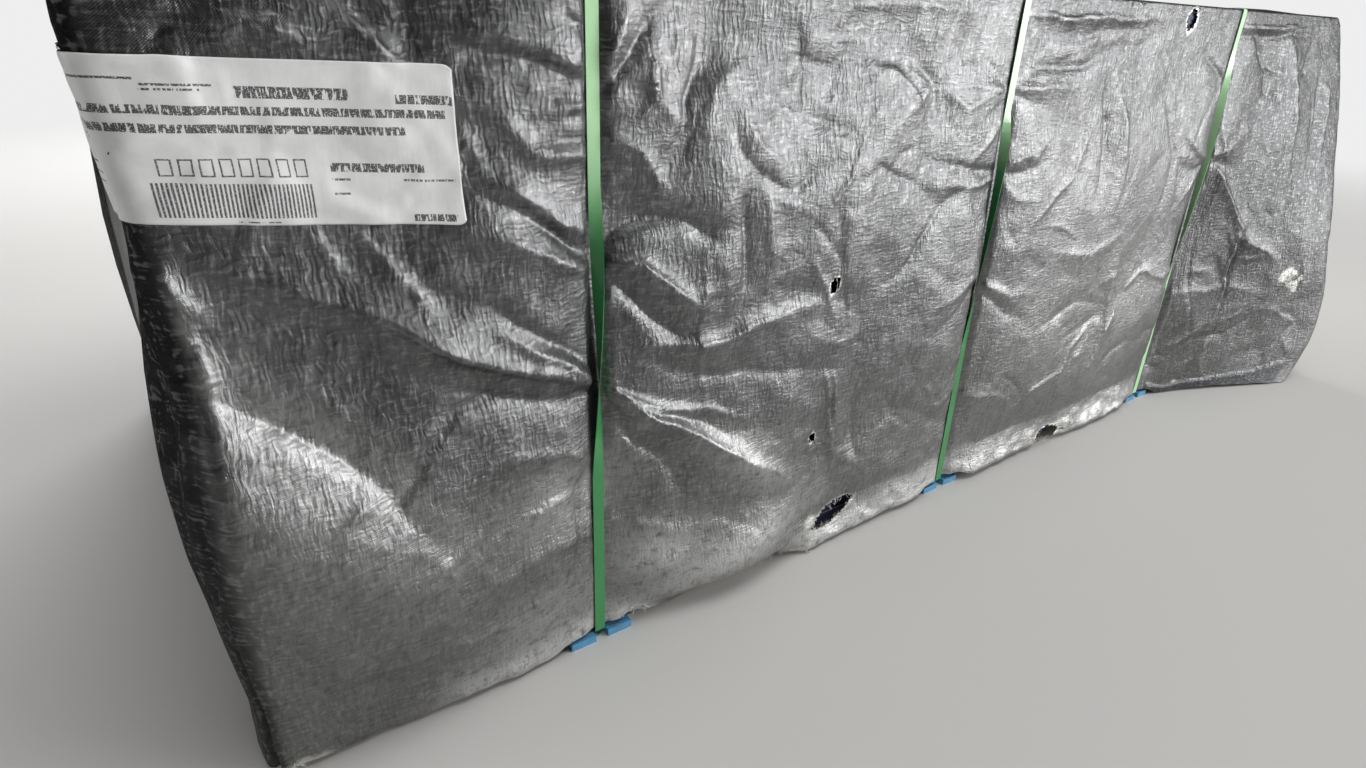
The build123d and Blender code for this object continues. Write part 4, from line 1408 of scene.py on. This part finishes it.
# Label: white paper, stuck on the cover round the corner of the labelled end, where it has creased
# with the sheet. Its print is plain rules, bars and stripes.
label_start = -0.17
label_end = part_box("label")[1][0] - stack_low[0] - 0.003
label_tall = 0.148
label_tops = ((-0.17, 0.785), (-0.06, 0.782), (0.236, 0.7735))
label_feet = ((-0.17, 0.655), (-0.06, 0.651), (0.236, 0.620))
label_round = 0.007
label_lift = 0.0014
label_step = 0.0028


label_run = np.arange(label_start, label_end + label_step / 2, label_step)
label_rows = np.linspace(-0.5, 0.5, int(label_tall / label_step) + 1)
from_right = np.minimum(label_run[-1] - label_run, label_round)
trim = label_round - np.sqrt(np.maximum(0, label_round**2 - (label_round - from_right) ** 2))
tops = np.interp(label_run, *zip(*label_tops))
feet = np.interp(label_run, *zip(*label_feet))
tall = tops - feet - 2 * trim
middle = (tops + feet) / 2
label_height_at = middle[:, None] + label_rows[None, :] * tall[:, None]
label_points = on_sheet(np.tile(label_run[:, None], (1, len(label_rows))), label_height_at)
label_points = soften(soften(label_points, 1.2, 0), 1.2, 1)
along = np.gradient(label_points, axis=0)
upward = np.gradient(label_points, axis=1)
outward = np.cross(along, upward)
outward /= np.linalg.norm(outward, axis=-1, keepdims=True)
paper_crease = facet_noise(label_run[:, None] + 0 * label_height_at, label_height_at, 0.017, 61, ring_length) * 0.0013
paper_crease += facet_noise(label_run[:, None] + 0 * label_height_at, label_height_at, 0.05, 62, ring_length) * 0.0026
label_points = label_points + outward * (label_lift + np.maximum(paper_crease, -0.0006))[..., None]
label_count, label_levels = label_height_at.shape
label_index = np.arange(label_count * label_levels).reshape(label_count, label_levels)
label_faces = np.stack(
    [label_index[:-1, :-1], label_index[1:, :-1], label_index[1:, 1:], label_index[:-1, 1:]], -1
).reshape(-1, 4)
label_flat = np.stack(
    [label_run[:, None] + 0 * label_height_at, (label_rows[None, :] + 0.5) * label_tall + 0 * label_height_at], -1
).reshape(-1, 2)
label_mesh = sheet_mesh("delivery_label", label_points.reshape(-1, 3), label_faces, label_flat[label_faces], {})
label = bpy.data.objects.new("delivery_label", label_mesh)
scene.collection.objects.link(label)
body = label.modifiers.new("paper", "SOLIDIFY")
body.thickness = 0.0003
body.offset = 1.0


def box_mask(tree, u, v, left, right, low, high):
    """1 inside a box of the label."""
    a = math_node(tree, "COMPARE", u, (left + right) / 2)
    a.node.inputs[2].default_value = (right - left) / 2
    b = math_node(tree, "COMPARE", v, (low + high) / 2)
    b.node.inputs[2].default_value = (high - low) / 2
    return math_node(tree, "MULTIPLY", a, b)


# Places of the print: left and right from the labelled end, low and high from the label's lower edge.
word_lines = [
    (-0.018, 0.030, 0.1225, 0.1245),
    (-0.018, 0.020, 0.1185, 0.1205),
    (0.045, 0.135, 0.1135, 0.1235),
    (0.176, 0.230, 0.1115, 0.1195),
    (-0.090, 0.222, 0.0990, 0.1065),
    (-0.090, 0.182, 0.0835, 0.0910),
    (-0.090, -0.060, 0.0750, 0.0780),
    (0.112, 0.196, 0.0500, 0.0580),
    (0.112, 0.128, 0.0420, 0.0440),
    (0.176, 0.226, 0.0420, 0.0440),
    (0.112, 0.126, 0.0290, 0.0310),
    (0.182, 0.224, 0.0040, 0.0110),
    (0.030, 0.063, 0.0030, 0.0045),
    (-0.100, -0.062, 0.0500, 0.0520),
    (-0.100, -0.075, 0.0400, 0.0420),
    (-0.100, -0.070, 0.0320, 0.0335),
]
number_boxes = [(-0.020 + 0.0145 * i, -0.0095 + 0.0145 * i, 0.0450, 0.0610) for i in range(8)]
stripe_block = (-0.028, 0.094, 0.0080, 0.0390)
top_rule = (-0.115, -0.020, 0.1270, 0.1290)


def paper_material():
    """White label stock with plain grey print."""
    material = bpy.data.materials.new("label_paper")
    material.use_nodes = True
    tree = material.node_tree
    surface = tree.nodes["Principled BSDF"]
    flat = tree.nodes.new("ShaderNodeUVMap")
    flat.uv_map = "flat_sheet"
    flat = flat.outputs["UV"]
    split = tree.nodes.new("ShaderNodeSeparateXYZ")
    tree.links.new(flat, split.inputs[0])
    u, v = split.outputs[0], split.outputs[1]
    words = None
    for box in word_lines:
        mask = box_mask(tree, u, v, *box)
        words = mask if words is None else math_node(tree, "MAXIMUM", words, mask)
    letters = ramp(tree, noise(tree, scaled(tree, flat, (420, 90, 1)), 1.0, 1.0), 0.40, 0.46)
    ink = math_node(tree, "MULTIPLY", words, letters)
    for box in number_boxes:
        left, right, low, high = box
        rim = box_mask(tree, u, v, *box)
        hole = box_mask(tree, u, v, left + 0.0014, right - 0.0014, low + 0.0014, high - 0.0014)
        ink = math_node(tree, "MAXIMUM", ink, math_node(tree, "SUBTRACT", rim, hole))
    stripes = math_node(tree, "SINE", math_node(tree, "MULTIPLY", u, 2 * math.pi / 0.0034))
    stripes = math_node(tree, "GREATER_THAN", stripes, -0.1)
    stripes = math_node(tree, "MULTIPLY", stripes, box_mask(tree, u, v, *stripe_block))
    ink = math_node(tree, "MAXIMUM", ink, stripes)
    ink = math_node(tree, "MAXIMUM", ink, box_mask(tree, u, v, *top_rule))
    worn = ramp(tree, noise(tree, flat, 900.0, 2.0), 0.34, 0.44)
    ink = math_node(tree, "MULTIPLY", ink, math_node(tree, "MULTIPLY", worn, 0.93))
    grime = noise(tree, flat, 14.0, 5.0, 0.65)
    paper = blend_colors(tree, ramp(tree, grime, 0.35, 0.75), (0.86, 0.865, 0.86), (0.72, 0.72, 0.71))
    rub = ramp(tree, noise(tree, scaled(tree, flat, (60, 240, 1), 0.5), 1.0, 4.0, 0.7), 0.62, 0.74)
    paper = blend_colors(tree, math_node(tree, "MULTIPLY", rub, 0.35), paper, (0.45, 0.45, 0.46))
    color = blend_colors(tree, ink, paper, (0.035, 0.035, 0.04))
    tree.links.new(color, surface.inputs["Base Color"])
    rough = math_node(tree, "MULTIPLY_ADD", grime, 0.25)
    rough.node.inputs[2].default_value = 0.32
    tree.links.new(rough, surface.inputs["Roughness"])
    crease = tree.nodes.new("ShaderNodeTexNoise")
    crease.noise_type = "RIDGED_MULTIFRACTAL"
    tree.links.new(flat, crease.inputs["Vector"])
    crease.inputs["Scale"].default_value = 22.0
    crease.inputs["Detail"].default_value = 4.0
    ribs = noise(tree, scaled(tree, flat, (1 / rib_apart, 1 / rib_long, 1)), 1.0, 1.0)
    relief = bump(tree, crease.outputs["Fac"], 0.0030, 0.7)
    relief = bump(tree, ribs, 0.0003, 0.5, relief)
    tree.links.new(relief, surface.inputs["Normal"])
    return material


label_mesh.materials.append(paper_material())
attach(label, "root")
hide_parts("label")

visual_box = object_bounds()
({"cad": [list(map(float, corner)) for corner in cad_box],
           "visual": [list(map(float, corner)) for corner in visual_box]})
